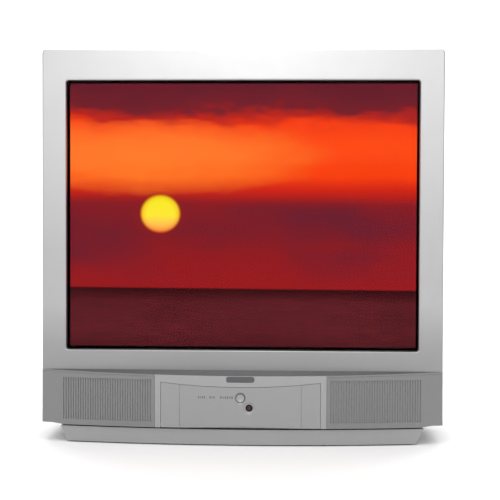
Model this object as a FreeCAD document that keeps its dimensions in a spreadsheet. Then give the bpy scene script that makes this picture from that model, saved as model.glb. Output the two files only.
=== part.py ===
import FreeCAD, Part
import math
import os
import re

import Sketcher
from FreeCAD import Placement, Rotation, Vector

# A 27-inch flat-screen television set with its cathode ray tube, in millimetres.
# The front faces -Y, +X is the viewer's right, +Z is up, and the origin is on the
# floor under the middle of the set.

DIMENSIONS = {
    # the cabinet as a whole
    "cab_width": 634, "cab_height": 621, "cab_depth": 494,
    "skin": 4, "base_top": 28, "panel_top": 115, "bow": 34, "ledge_drop": 5, "ledge_lip": 2.5,
    "cabinet_length": 110, "edge_round": 2.5, "corner_round": 6,
    # the picture opening and the tube
    "open_width": 557, "open_height": 425, "open_base": 147, "open_round": 4,
    "glass_setback": 10, "glass_width": 591, "glass_height": 458, "glass_thick": 12,
    "glass_round": 30, "skirt_length": 85, "skirt_wall": 10,
    "picture_width": 551, "picture_height": 418,
    "neck_radius": 14.55, "neck_length": 110, "funnel_length": 193,
    # the lower panel
    "grille_inner": 134.5, "grille_thick": 3, "grille_base": 28, "slot_width": 1.6, "slot_pitch": 4,
    "door_half": 124.5, "door_gap": 0.6, "door_thick": 3, "door_base": 28.4,
    "door_side_top": 99, "door_mid_top": 92, "hinge_back": 7, "hinge_height": 33, "hinge_radius": 1.5,
    "bay_depth": 19, "control_thick": 2.5,
    "power_x": 0, "power_z": 75.5, "power_radius": 6.25,
    "sensor_x": 13.7, "sensor_z": 60, "sensor_radius": 4.4,
    "badge_width": 44, "badge_height": 9, "badge_z": 104.5,
    # the foot
    "foot_height": 2, "plinth_top": 25.5, "plinth_inset": 30, "plinth_taper": 12,
    # the back
    "back_wall": 3.5, "back_mid_half": 225, "back_end_half": 190,
    "back_mid_top": 526, "back_end_top": 446, "straight_length": 53, "mid_length": 163,
    # inside
    "board_z": 46, "board_thick": 1.6, "speaker_x": 210, "speaker_z": 69, "speaker_radius": 29.5,
    "ring_inner": 17.6, "ring_clear": 0.05,
    "jack_radius": 4.15,
}

HALF = "cab_width / 2"
CROWN = "(-cab_depth / 2)"
FRONT = "(bow - cab_depth / 2)"
BACK = "(cab_depth / 2)"
SPLIT = "(bow - cab_depth / 2 + cabinet_length)"
TUBE_Z = "(open_base + open_height / 2)"
GLASS = "(bow - cab_depth / 2 + glass_setback)"
SEAL = "(bow - cab_depth / 2 + glass_setback + skirt_length)"
NECK = "(bow - cab_depth / 2 + glass_setback + skirt_length + funnel_length)"
BAY = "(bay_depth - cab_depth / 2)"

# where the back cover's screws go: x, z, and the rib that ties each boss to a wall
CASE_SCREWS = [
    (-296, 596, (-314, -296), (594.5, 597.5)), (296, 596, (296, 314), (594.5, 597.5)),
    (-296, 56, (-314, -296), (54.5, 57.5)), (296, 56, (296, 314), (54.5, 57.5)),
    (-100, 609, (-101.5, -98.5), (609, 618)), (100, 609, (98.5, 101.5), (609, 618)),
]
FOOT_X = (-225, 225)
FOOT_Y = (-190, 110)
GLAND_X, GLAND_Z = 130, 62
# the x of each small button, then the heights and places of the front sockets
SMALL_BUTTONS = {
    "menu_button": 42, "channel_down_button": 57, "channel_up_button": 72,
    "volume_down_button": 87, "volume_up_button": 102,
}
BUTTON_Z = 58
FRONT_JACKS = (-98, -78, -58)
JACK_Z = 54
PHONES_X = -34
FUNNEL = (
    # (share of the funnel's length, half width, half height, corner radius)
    (0.0, 295.5, 229.0, 30.0), (0.2, 262.0, 199.0, 70.0), (0.45, 176.0, 140.0, 100.0),
    (0.7, 74.0, 66.0, 62.0), (0.84, 34.0, 33.0, 32.0), (1.0, 15.2, 15.2, 15.1),
)
# the magnet rings on the neck, from the sleeve's front, in millimetres
RING_NAMES = ("purity_ring_a", "purity_ring_b", "four_pole_ring_a", "four_pole_ring_b",
              "six_pole_ring_a", "six_pole_ring_b")
RING_START = 30
RING_PITCH = 3
# the rear sockets and how far their panel is sunk
JACK_COLUMNS = (-96, -74, -52)
JACK_ROWS = (68, 90, 112)
ANTENNA_X, ANTENNA_Z = -128, 70
RECESS = 14

DOC = FreeCAD.newDocument("television")
SHEET = DOC.addObject("Spreadsheet::Sheet", "Dims")
for row, (alias, value) in enumerate(DIMENSIONS.items(), start=1):
    SHEET.set(f"A{row}", alias)
    SHEET.set(f"B{row}", str(value))
    SHEET.setAlias(f"B{row}", alias)
DOC.recompute()

ALIASES = re.compile(r"\b(" + "|".join(DIMENSIONS) + r")\b")
NODES = {}


# ---- helpers: sizes, primitives, sketches ----

def expression(value):
    """The sheet's own form of a size: each alias with the sheet's name before it."""
    return ALIASES.sub(lambda match: "Dims." + match.group(0), str(value))


def number(value):
    """The present value of a size, in millimetres."""
    return float(SHEET.evalExpression(expression(value)))


def bind(obj, prop, value):
    """Ties a property of an object to a size."""
    obj.setExpression(prop, expression(value))


def node(name, obj):
    """Marks an object as one finished piece of the set."""
    obj.Label = name
    NODES[name] = obj
    return obj


def unique(name):
    """A name that no object has yet."""
    count = 1
    free = name
    while DOC.getObject(free):
        count += 1
        free = f"{name}_{count}"
    return free


def box(name, along_x, along_y, along_z):
    """A block between two values on each axis."""
    block = DOC.addObject("Part::Box", unique(name))
    spans = (("Length", "x", along_x), ("Width", "y", along_y), ("Height", "z", along_z))
    for prop, axis, (low, high) in spans:
        bind(block, prop, f"({high}) - ({low})")
        bind(block, f"Placement.Base.{axis}", low)
    return block


TURNS = {
    "X": Rotation(Vector(0, 1, 0), 90),
    "Y": Rotation(Vector(1, 0, 0), -90),
    "Z": Rotation(),
}


def place(solid, axis, origin):
    """Puts a primitive at a point with its own axis along X, Y or Z."""
    solid.Placement = Placement(Vector(), TURNS[axis])
    for letter, value in zip("xyz", origin):
        bind(solid, f"Placement.Base.{letter}", value)


def cylinder(name, radius, axis, origin, length):
    """A round bar that starts at origin and runs along its axis."""
    bar = DOC.addObject("Part::Cylinder", unique(name))
    bind(bar, "Radius", radius)
    bind(bar, "Height", length)
    place(bar, axis, origin)
    return bar


def cone(name, first_radius, last_radius, axis, origin, length):
    """A tapered bar that starts at origin and runs along its axis."""
    bar = DOC.addObject("Part::Cone", unique(name))
    bind(bar, "Radius1", first_radius)
    bind(bar, "Radius2", last_radius)
    bind(bar, "Height", length)
    place(bar, axis, origin)
    return bar


def fuse(name, *solids):
    """Several solids made one."""
    joined = DOC.addObject("Part::MultiFuse", unique(name))
    joined.Shapes = list(solids)
    return joined


def group(name, solids):
    """Several equal solids that stay separate, kept as one piece."""
    gathered = DOC.addObject("Part::Compound", unique(name))
    gathered.Links = list(solids)
    return gathered


def cut(name, base, *tools):
    """A solid with one or more others taken out of it."""
    result = DOC.addObject("Part::Cut", unique(name))
    result.Base = base
    result.Tool = tools[0] if len(tools) == 1 else group(name + "_tools", tools)
    return result


def common(name, first, second):
    """What two solids share."""
    result = DOC.addObject("Part::Common", unique(name))
    result.Base = first
    result.Tool = second
    return result


def tube(name, outer, inner, origin, length, axis="Y"):
    """A round sleeve."""
    overrun = {"X": (-1, 0, 0), "Y": (0, -1, 0), "Z": (0, 0, -1)}[axis]
    start = [f"({value}) + ({step})" for value, step in zip(origin, overrun)]
    return cut(
        name,
        cylinder(name + "_outer", outer, axis, origin, length),
        cylinder(name + "_bore", inner, axis, start, f"({length}) + 2"),
    )


def rounded(width, height, radius, centre=("0", "0")):
    """A rectangle with round corners: each arc is given by how far it bows."""
    across, up = f"({width}) / 2", f"({height}) / 2"
    flank, rise = f"({across} - ({radius}))", f"({up} - ({radius}))"
    arc = f"({radius}) * 0.2928932"
    cx, cy = centre
    corners = (
        (flank, f"-({up})", arc), (across, f"-{rise}"),
        (across, rise, arc), (flank, up),
        (f"-{flank}", up, arc), (f"-({across})", rise),
        (f"-({across})", f"-{rise}", arc), (f"-{flank}", f"-({up})"),
    )
    return [(f"({cx}) + ({point[0]})", f"({cy}) + ({point[1]})", *point[2:]) for point in corners]


def bound_constraint(sketch, kind, references, value):
    """Adds one dimension to a sketch and ties it to a size."""
    index = sketch.addConstraint(Sketcher.Constraint(kind, *references, number(value)))
    sketch.setExpression(f"Constraints[{index}]", expression(value))


def add_loop(sketch, points):
    """A closed outline of lines and arcs. A third value bows the edge that leaves a point
    to the right of its direction, by that much at its middle."""
    spots = [Vector(number(point[0]), number(point[1]), 0) for point in points]
    ends = []
    for index, point in enumerate(points):
        start, stop = spots[index], spots[(index + 1) % len(points)]
        if len(point) == 3:
            chord = stop - start
            side = Vector(chord.y, -chord.x, 0).normalize()
            edge = Part.Arc(start, (start + stop) * 0.5 + side * number(point[2]), stop)
        else:
            edge = Part.LineSegment(start, stop)
        geometry = sketch.addGeometry(edge, False)
        forward = sketch.getPoint(geometry, 1).distanceToPoint(start) < 1e-4
        ends.append((geometry, 1, 2) if forward else (geometry, 2, 1))
    for index, (geometry, first, last) in enumerate(ends):
        following = ends[(index + 1) % len(ends)]
        sketch.addConstraint(Sketcher.Constraint("Coincident", geometry, last, *following[:2]))
        point, after = points[index], points[(index + 1) % len(points)]
        bound_constraint(sketch, "DistanceX", (-1, 1, geometry, first), point[0])
        bound_constraint(sketch, "DistanceY", (-1, 1, geometry, first), point[1])
        if len(point) == 3:
            chord = f"((({after[0]}) - ({point[0]}))^2 + (({after[1]}) - ({point[1]}))^2)"
            radius = f"({chord} / 4 + ({point[2]})^2) / (2 * abs({point[2]}))"
            bound_constraint(sketch, "Radius", (geometry,), radius)


def add_sketch(body, plane, offset, loops, centre=("0", "0")):
    """A dimensioned sketch on one of the body's own planes."""
    sketch = body.newObject("Sketcher::SketchObject", unique(body.Name + "_sketch"))
    support = next(item for item in body.Origin.OriginFeatures if item.Role == plane)
    sketch.AttachmentSupport = [(support, "")]
    sketch.MapMode = "FlatFace"
    bind(sketch, "AttachmentOffset.Base.x", centre[0])
    bind(sketch, "AttachmentOffset.Base.y", centre[1])
    bind(sketch, "AttachmentOffset.Base.z", offset)
    for loop in loops:
        add_loop(sketch, loop)
    return sketch


def new_body(name):
    """An empty PartDesign body."""
    return DOC.addObject("PartDesign::Body", unique(name))


def prism(name, plane, start, stop, *loops):
    """A straight extrusion of an outline between two planes."""
    body = new_body(name)
    facing = plane == "XZ_Plane"
    sketch = add_sketch(body, plane, f"-({start})" if facing else start, loops)
    pad = body.newObject("PartDesign::Pad", unique(name + "_pad"))
    pad.Profile = sketch
    pad.Reversed = facing
    bind(pad, "Length", f"({stop}) - ({start})")
    return body


def revolved(name, centre_x, centre_z, profile):
    """A turned solid about a line along Y. The profile is a list of (y, radius)."""
    body = new_body(name)
    sketch = add_sketch(body, "YZ_Plane", centre_x, [profile], ("0", centre_z))
    turn = body.newObject("PartDesign::Revolution", unique(name + "_turn"))
    turn.Profile = sketch
    turn.ReferenceAxis = (sketch, ["H_Axis"])
    turn.Angle = 360
    return body


def loft(name, sections, ruled):
    """A solid through outlines that stand at different depths. Each section is (y, outline)."""
    body = new_body(name)
    sketches = [add_sketch(body, "XZ_Plane", f"-({depth})", [loop]) for depth, loop in sections]
    feature = body.newObject("PartDesign::AdditiveLoft", unique(name + "_loft"))
    feature.Profile = sketches[0]
    feature.Sections = sketches[1:]
    feature.Ruled = ruled
    return body


def round_edges(body, radius, chosen):
    """Rounds every edge of a body's last feature that the test picks."""
    DOC.recompute()
    base = body.Tip
    names = [f"Edge{i}" for i, edge in enumerate(base.Shape.Edges, start=1) if chosen(edge)]
    fillet = body.newObject("PartDesign::Fillet", unique(body.Name + "_fillet"))
    fillet.Base = (base, names)
    bind(fillet, "Radius", radius)
    return body


def on_plane(axis, value):
    """A test for edges that lie at one value of an axis."""
    level = number(value)
    return lambda edge: all(abs(getattr(v.Point, axis) - level) < 0.01 for v in edge.Vertexes)


# ---- the front: cabinet, grilles, door, controls ----

def bowed_solid(name, inset, low, high):
    """The lower panel's solid, as far inside its bowed face as inset says."""
    reach = HALF
    face = f"({FRONT} + ({inset}))"
    outline = [(f"-{reach}", face, "bow"), (reach, face), (reach, f"{FRONT} + skin + 20"),
               (f"-{reach}", f"{FRONT} + skin + 20")]
    return prism(name, "XY_Plane", low, high, outline)


def under_ledge(name, lowered):
    """Everything under the sloping ledge, lowered by a few millimetres."""
    slope = "ledge_drop / bow"
    outline = [
        (f"{CROWN} - 10", "base_top"), (f"{FRONT} + 60", "base_top"),
        (f"{FRONT} + 60", f"panel_top - ({lowered})"), (FRONT, f"panel_top - ({lowered})"),
        (f"{CROWN} - 10", f"panel_top - (bow + 10) * {slope} - ({lowered})"),
    ]
    return prism(name, "YZ_Plane", f"-{HALF}", HALF, outline)


def door_outline(grow):
    """The door's outline seen from the front: an arched top edge that dips in the middle."""
    side = f"(door_half + ({grow}))"
    foot = f"(door_base - ({grow}) * 3)"
    top = f"(door_side_top + ({grow}))"
    return [(f"-{side}", foot), (side, foot), (side, top, "door_mid_top - door_side_top"), (f"-{side}", top)]


def front_cabinet():
    bezel = prism(
        "bezel", "XZ_Plane", FRONT, SPLIT,
        rounded("cab_width", "cab_height - base_top", "corner_round", ("0", "(cab_height + base_top) / 2")),
        rounded("open_width", "open_height", "open_round", ("0", TUBE_Z)),
    )
    round_edges(bezel, "edge_round", on_plane("y", FRONT))
    inside = box("bezel_inside", (f"-{HALF} + skin", f"{HALF} - skin"), (f"{FRONT} + skin", f"{SPLIT} + 1"),
                 ("base_top + skin", "cab_height - skin"))
    hollow = cut("hollow_bezel", bezel, inside)
    lip = prism("opening_lip", "XZ_Plane", f"{FRONT} + skin", f"{GLASS} - 0.4",
                rounded("open_width + 6", "open_height + 6", "open_round + 3", ("0", TUBE_Z)),
                rounded("open_width", "open_height", "open_round", ("0", TUBE_Z)))
    panel = common("panel_mass", bowed_solid("panel_outer", 0, "base_top", "panel_top"), under_ledge("ledge", 0))
    panel_hollow = common(
        "panel_hollow", bowed_solid("panel_inner", "skin + 3", "base_top + skin", "panel_top"),
        under_ledge("ledge_inside", "skin"),
    )
    cavity = box("panel_cavity", (f"-{HALF} + skin", f"{HALF} - skin"), (f"{FRONT} - 2", f"{SPLIT} + 1"),
                 ("base_top + skin", "panel_top - skin"))
    bay_block = common(
        "bay_block", bowed_solid("bay_outer", "0.01", "base_top", "panel_top - 1"),
        box("bay_frame", ("-grille_inner + 0.5", "grille_inner - 0.5"), (f"{CROWN} - 1", f"{BAY} + 6"),
            ("base_top", "panel_top - 1")),
    )
    bay_block = common("bay_under_ledge", bay_block, under_ledge("ledge_bay", 1))
    seats = [
        common("speaker_seat",
               cylinder("seat_bar", "speaker_radius + 5", "Y",
                        (f"{side} * speaker_x", CROWN, "speaker_z"), "cab_depth / 2 - 219"),
               bowed_solid("seat_limit", "grille_thick + 0.3", "base_top", "panel_top"))
        for side in (-1, 1)
    ]
    posts = [
        cylinder("tube_post", 6, "Y", (f"{sx} * 297", f"{FRONT} + skin - 0.5", f"{TUBE_Z} + {sz} * 230.5"),
                 "skin + 55")
        for sx in (-1, 1) for sz in (-1, 1)
    ]
    case_bosses = [
        fuse("case_boss",
             cylinder("boss", 5, "Y", (x, f"{SPLIT} - 25", z), 24.7),
             box("boss_rib", rib_x, (f"{SPLIT} - 25", f"{SPLIT} - 1"), rib_z))
        for x, z, rib_x, rib_z in CASE_SCREWS
    ]
    skin_solid = cut("panel_skin", panel, panel_hollow)
    mass = fuse("cabinet_mass", hollow, lip, skin_solid)
    opened = cut("cabinet_opened", mass, cavity)
    filled = fuse("cabinet_filled", opened, bay_block, *seats, *posts, *case_bosses)
    tools = [grille_space(side) for side in (-1, 1)]
    tools += [
        cylinder("speaker_hole", "speaker_radius - 3", "Y",
                 (f"{side} * speaker_x", f"{CROWN} - 1", "speaker_z"), 60)
        for side in (-1, 1)
    ]
    tools.append(prism("door_space", "XZ_Plane", f"{CROWN} - 1", BAY, door_outline("door_gap")))
    tools.append(box("control_space", ("-118", "118"), (f"{BAY} - 0.5", f"{BAY} + 8"), ("base_top + 7", "91")))
    tools.append(box("hinge_relief", ("-door_half - door_gap", "door_half + door_gap"),
                     (f"{CROWN} - 1", f"{CROWN} + 16"), ("base_top - 1", "base_top + 5")))
    tools += [
        cylinder("hinge_hole", "hinge_radius + 0.05", "X",
                 ("-door_half - 4.5" if side < 0 else "door_half - 1", f"{CROWN} + hinge_back", "hinge_height"),
                 5.5)
        for side in (-1, 1)
    ]
    tools.append(box("badge_space", ("-badge_width / 2 - 0.2", "badge_width / 2 + 0.2"),
                     (f"{CROWN} - 1", f"{CROWN} + 1.2"),
                     ("badge_z - badge_height / 2 - 0.2", "badge_z + badge_height / 2 + 0.2")))
    tools += [
        cylinder("post_hole", 2.2, "Y", (f"{sx} * 297", f"{FRONT} + 20", f"{TUBE_Z} + {sz} * 230.5"), 60)
        for sx in (-1, 1) for sz in (-1, 1)
    ]
    tools += [cylinder("boss_hole", 2, "Y", (x, f"{SPLIT} - 20", z), 22) for x, z, *_ in CASE_SCREWS]
    tools += [end_ramp(side) for side in (-1, 1)]
    return node("front_cabinet", cut("front_cabinet", filled, *tools))


def end_ramp(side):
    """The wedge that lifts the panel's lower edge near one end."""
    return prism("end_ramp", "XZ_Plane", f"{CROWN} - 1", f"{FRONT} + 30", [
        (f"{side} * ({HALF} + 1)", "base_top - 1"), (f"{side} * 281", "base_top - 1"),
        (f"{side} * 281", "base_top"), (f"{side} * 300", "base_top + 2.4"),
        (f"{side} * ({HALF} + 1)", "base_top + 2.6")])


def grille_space(side):
    """The rebate that a grille sits in."""
    span = ("grille_inner - 0.3", f"{HALF} + 1") if side > 0 else (f"-{HALF} - 1", "-grille_inner + 0.3")
    block = box("rebate_block", span, (f"{CROWN} - 1", f"{FRONT} + 2.6"), ("grille_base - 0.3", "panel_top"))
    under = common("rebate_under", block, under_ledge("rebate_ledge", "ledge_lip"))
    return cut("rebate", under, bowed_solid("rebate_floor", "grille_thick + 0.3", "base_top - 1", "panel_top + 1"))


def grille(name, side):
    """A slotted grille that follows the bow of the lower panel."""
    span = ("grille_inner", f"{HALF} - 0.2") if side > 0 else (f"-{HALF} + 0.2", "-grille_inner")
    shell = cut(name + "_shell", bowed_solid(name + "_face", 0, "grille_base", "panel_top"),
                bowed_solid(name + "_floor", "grille_thick", "base_top", "panel_top + 1"))
    cropped = common(name + "_crop", shell, box(name + "_span", span, (f"{CROWN} - 1", f"{FRONT} + 2"),
                                                ("grille_base", "panel_top")))
    plate = common(name + "_plate", cropped, under_ledge(name + "_ledge", "ledge_lip + 0.3"))
    slots = []
    for index in range(36):
        middle = f"{side} * (grille_inner + 6.5 + {index} * slot_pitch)"
        slots.append(box(name + "_slot", (f"{middle} - slot_width / 2", f"{middle} + slot_width / 2"),
                         (f"{CROWN} - 1", FRONT), ("grille_base + 9", "grille_base + 75")))
    return node(name, cut(name, plate, end_ramp(side), *slots))


def front_door():
    """The drop-down door: a bowed plate with an arched top, two holes and two hinge pins."""
    shell = cut("door_shell", bowed_solid("door_face", 0, "base_top - 1", "panel_top"),
                bowed_solid("door_back", "door_thick", "base_top - 2", "panel_top + 1"))
    plate = common("door_plate", shell, prism("door_prism", "XZ_Plane", f"{CROWN} - 1", BAY, door_outline(0)))
    heel = box("door_heel", ("-door_half", "door_half"), (f"{CROWN} - 0.5", f"{CROWN} + 4"),
               ("door_base - 1", "door_base + 4"))
    heel_round = cylinder("heel_round", 4, "X", ("-door_half", f"{CROWN} + 4", "door_base + 4"), "2 * door_half")
    corner = cut("heel_corner", heel, heel_round)
    pins = [
        cylinder("hinge_pin", "hinge_radius", "X",
                 ("-door_half - 4" if side < 0 else "door_half - 3", f"{CROWN} + hinge_back", "hinge_height"), 7)
        for side in (-1, 1)
    ]
    knuckles = [
        common("door_knuckle",
               box("knuckle", ("-door_half" if side < 0 else "door_half - 3",
                               "-door_half + 3" if side < 0 else "door_half"),
                   (f"{CROWN} + 4", f"{CROWN} + 9.5"), ("hinge_height - 2.5", "hinge_height + 2.5")),
               bowed_solid("knuckle_limit", "1", "base_top - 1", "panel_top"))
        for side in (-1, 1)
    ]
    body = fuse("door_body", cut("door_rounded", plate, corner), *pins, *knuckles)
    tools = [
        cylinder("power_opening", "power_radius + 0.9", "Y", ("power_x", f"{CROWN} - 1", "power_z"), 10),
        cone("power_dish", "power_radius + 3.6", "power_radius + 0.9", "Y",
             ("power_x", f"{CROWN} - 0.2", "power_z"), 1.8),
        cylinder("sensor_opening", "sensor_radius + 1.2", "Y", ("sensor_x", f"{CROWN} - 1", "sensor_z"), 10),
        cone("sensor_dish", "sensor_radius + 6.5", "sensor_radius + 1.2", "Y",
             ("sensor_x", f"{CROWN} - 0.2", "sensor_z"), 1.9),
    ]
    tools += [
        box("door_crease", (f"{side} * 95 - 0.5", f"{side} * 95 + 0.5"), (f"{CROWN} - 1", f"{CROWN} + 3.8"),
            ("door_base - 1", "door_side_top + 1"))
        for side in (-1, 1)
    ]
    return node("front_door", cut("front_door", body, *tools))


def control_panel():
    """The plate behind the door that carries the buttons and the sockets."""
    plate = box("control_plate", ("-117.7", "117.7"), (BAY, f"{BAY} + control_thick"),
                ("base_top + 7.3", "90.7"))
    holes = [
        cylinder("power_guide", "power_radius + 0.3", "Y", ("power_x", f"{BAY} - 1", "power_z"), 10),
        cylinder("sensor_guide", "sensor_radius + 0.2", "Y", ("sensor_x", f"{BAY} - 1", "sensor_z"), 10),
        cylinder("phones_guide", 4.1, "Y", (PHONES_X, f"{BAY} - 1", JACK_Z), 10),
    ]
    holes += [
        box("button_guide", (f"{x} - 4.8", f"{x} + 4.8"), (f"{BAY} - 1", f"{BAY} + 5"),
            (f"{BUTTON_Z} - 2.8", f"{BUTTON_Z} + 2.8"))
        for x in SMALL_BUTTONS.values()
    ]
    holes += [cylinder("jack_guide", 5.7, "Y", (x, f"{BAY} - 1", JACK_Z), 10) for x in FRONT_JACKS]
    return node("control_panel", cut("control_panel", plate, *holes))


def power_button():
    cap = cylinder("power_cap", "power_radius", "Y", ("power_x", f"{CROWN} + 0.4", "power_z"),
                   "bay_depth + control_thick + 0.6")
    flange = cylinder("power_flange", "power_radius + 2", "Y",
                      ("power_x", f"{BAY} + control_thick + 0.4", "power_z"), 1.2)
    dish = DOC.addObject("Part::Sphere", "power_finger_dish")
    dish.Radius = 22
    place(dish, "Z", ("power_x", f"{CROWN} - 20.8", "power_z"))
    return node("power_button", cut("power_button", fuse("power_body", cap, flange), dish))


def small_button(name, x):
    key = box(name + "_key", (f"{x} - 4.5", f"{x} + 4.5"), (f"{BAY} - 4", f"{BAY} + control_thick + 1"),
              (f"{BUTTON_Z} - 2.5", f"{BUTTON_Z} + 2.5"))
    flange = box(name + "_flange", (f"{x} - 6", f"{x} + 6"),
                 (f"{BAY} + control_thick + 0.4", f"{BAY} + control_thick + 1.6"),
                 (f"{BUTTON_Z} - 4", f"{BUTTON_Z} + 4"))
    return node(name, fuse(name, key, flange))


def control_electronics():
    board_y = f"({BAY} + 10)"
    node("key_board", box("key_board", ("-112", "112"), (board_y, f"{board_y} + board_thick"),
                          ("base_top + 12", "87")))
    switches = [
        fuse("key_switch",
             box("switch_body", (f"{x} - 3", f"{x} + 3"), (f"{board_y} - 3", board_y),
                 (f"{BUTTON_Z} - 3", f"{BUTTON_Z} + 3")),
             cylinder("switch_stem", 1.6, "Y", (x, f"{board_y} - 4.2", BUTTON_Z), 2))
        for x in SMALL_BUTTONS.values()
    ]
    switches.append(box("power_switch", ("power_x - 6", "power_x + 6"), (f"{board_y} - 2.8", board_y),
                        ("power_z - 6", "power_z + 6")))
    node("key_switches", group("key_switches", switches))
    lens = fuse("sensor_lens",
                cone("lens_edge", "sensor_radius - 0.9", "sensor_radius", "Y",
                     ("sensor_x", f"{CROWN} + 1.5", "sensor_z"), 0.9),
                cylinder("lens_barrel", "sensor_radius", "Y",
                         ("sensor_x", f"{CROWN} + 2.4", "sensor_z"), "bay_depth + 5"))
    node("remote_sensor", lens)
    jacks = []
    for x in FRONT_JACKS:
        collar = cylinder("jack_collar", 5.5, "Y", (x, f"{BAY} - 1", JACK_Z), 10.9)
        sleeve = cylinder("jack_sleeve", "jack_radius", "Y", (x, f"{BAY} - 9", JACK_Z), 9)
        socket = cylinder("jack_socket", 1.6, "Y", (x, f"{BAY} - 10", JACK_Z), 9)
        jacks.append(cut("front_jack", fuse("jack_body", collar, sleeve), socket))
    phones = cylinder("phones_body", 4, "Y", (PHONES_X, f"{BAY} - 1.2", JACK_Z), 11)
    phones_bore = cylinder("phones_bore", 1.8, "Y", (PHONES_X, f"{BAY} - 2", JACK_Z), 11)
    jacks.append(cut("phones_jack", phones, phones_bore))
    node("front_av_jacks", group("front_av_jacks", jacks))


def badge():
    plate = prism("badge_plate", "XZ_Plane", f"{CROWN} + 0.15", f"{CROWN} + 1.1",
                  rounded("badge_width", "badge_height", "badge_height * 0.45", ("0", "badge_z")))
    node("badge_plate", plate)


# ---- the foot ----

def plinth():
    """A bowed foot with sloping ends and a set-back riser under the cabinet."""
    half = f"({HALF} - plinth_inset)"
    front = f"({FRONT} - 3.2)"
    base = prism("plinth_base", "XY_Plane", "foot_height", "plinth_top", [
        (f"-{half}", front, "bow - 8"), (half, front), (f"{half} - 20", "150"), (f"-{half} + 20", "150")])
    riser = prism("plinth_riser", "XY_Plane", "plinth_top - 1", "base_top", [
        (f"-{half} + 14", f"{FRONT} + 8", "bow - 14"), (f"{half} - 14", f"{FRONT} + 8"),
        (f"{half} - 34", "136"), (f"-{half} + 34", "136")])
    ends = [
        prism("plinth_end", "XZ_Plane", f"{CROWN} - 1", "151", [
            (f"{side} * ({half} + 1)", "plinth_top"), (f"{side} * {half}", "plinth_top"),
            (f"{side} * ({half} - plinth_taper)", "foot_height"),
            (f"{side} * ({half} + 1)", "foot_height")])
        for side in (-1, 1)
    ]
    hollow = prism("plinth_hollow", "XY_Plane", "foot_height - 1", "plinth_top - 4", [
        (f"-{half} + 22", f"{FRONT} + 6", "bow - 12"), (f"{half} - 22", f"{FRONT} + 6"),
        (f"{half} - 40", "140"), (f"-{half} + 40", "140")])
    ribs = [box("plinth_rib", (f"{x} - 14", f"{x} + 14"), (f"{y} - 14", f"{y} + 14"), ("foot_height", "plinth_top - 3"))
            for x in FOOT_X for y in FOOT_Y]
    shell = cut("plinth_shell", fuse("plinth_mass", base, riser), *ends, hollow)
    node("base_plinth", fuse("base_plinth", shell, *ribs))
    feet = [cylinder("foot", 12, "Z", (x, y, "0"), "foot_height") for x in FOOT_X for y in FOOT_Y]
    node("rubber_feet", group("rubber_feet", feet))


# ---- the cathode ray tube ----

def tube_outline(half_width, half_height, radius):
    return rounded(f"2 * ({half_width})", f"2 * ({half_height})", radius, ("0", TUBE_Z))


def faceplate():
    glass = prism("glass_block", "XZ_Plane", GLASS, SEAL, rounded("glass_width", "glass_height", "glass_round",
                                                                  ("0", TUBE_Z)))
    round_edges(glass, 4, on_plane("y", GLASS))
    inside = prism("glass_inside", "XZ_Plane", f"{GLASS} + glass_thick", f"{SEAL} + 1",
                   rounded("glass_width - 2 * skirt_wall", "glass_height - 2 * skirt_wall",
                           "glass_round - skirt_wall + 2", ("0", TUBE_Z)))
    node("crt_faceplate", cut("crt_faceplate", glass, inside))
    screen_y = f"({GLASS} + glass_thick)"
    node("phosphor_screen", box("phosphor_screen", ("-picture_width / 2", "picture_width / 2"),
                                (screen_y, f"{screen_y} + 0.4"),
                                (f"{TUBE_Z} - picture_height / 2", f"{TUBE_Z} + picture_height / 2")))
    border = cut("border_cut",
                 box("border_outer", ("-glass_width / 2 + skirt_wall + 1", "glass_width / 2 - skirt_wall - 1"),
                     (screen_y, f"{screen_y} + 0.4"),
                     (f"{TUBE_Z} - glass_height / 2 + skirt_wall + 1", f"{TUBE_Z} + glass_height / 2 - skirt_wall - 1")),
                 box("border_inner", ("-picture_width / 2 - 0.05", "picture_width / 2 + 0.05"),
                     (f"{screen_y} - 1", f"{screen_y} + 2"),
                     (f"{TUBE_Z} - picture_height / 2 - 0.05", f"{TUBE_Z} + picture_height / 2 + 0.05")))
    trimmed = common("border_trim", border, prism("border_limit", "XZ_Plane", f"{GLASS} + 5", f"{SEAL}",
                                                  rounded("glass_width - 2 * skirt_wall - 1",
                                                          "glass_height - 2 * skirt_wall - 1",
                                                          "glass_round - skirt_wall + 2", ("0", TUBE_Z))))
    node("black_border", trimmed)
    mask_y = f"({screen_y} + 9)"
    mask = box("mask_sheet", ("-picture_width / 2 - 2", "picture_width / 2 + 2"), (mask_y, f"{mask_y} + 0.3"),
               (f"{TUBE_Z} - picture_height / 2 - 2", f"{TUBE_Z} + picture_height / 2 + 2"))
    frame = prism("mask_frame", "XZ_Plane", mask_y, f"{mask_y} + 14",
                  rounded("picture_width + 12", "picture_height + 12", 12, ("0", TUBE_Z)),
                  rounded("picture_width", "picture_height", 8, ("0", TUBE_Z)))
    node("shadow_mask", fuse("shadow_mask", mask, frame))


def funnel_sections(wall, overrun):
    sections = []
    for share, half_width, half_height, radius in FUNNEL:
        thinner = wall * (1 - 0.5 * share)
        if wall and share == 1:
            thinner = 2.6
        depth = f"{SEAL} + funnel_length * {share}"
        if share == 0:
            depth = f"{depth} - {overrun}"
        if share == 1:
            depth = f"{depth} + {overrun}"
        sections.append((depth, tube_outline(half_width - thinner, half_height - thinner, radius - thinner)))
    return sections


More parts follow.
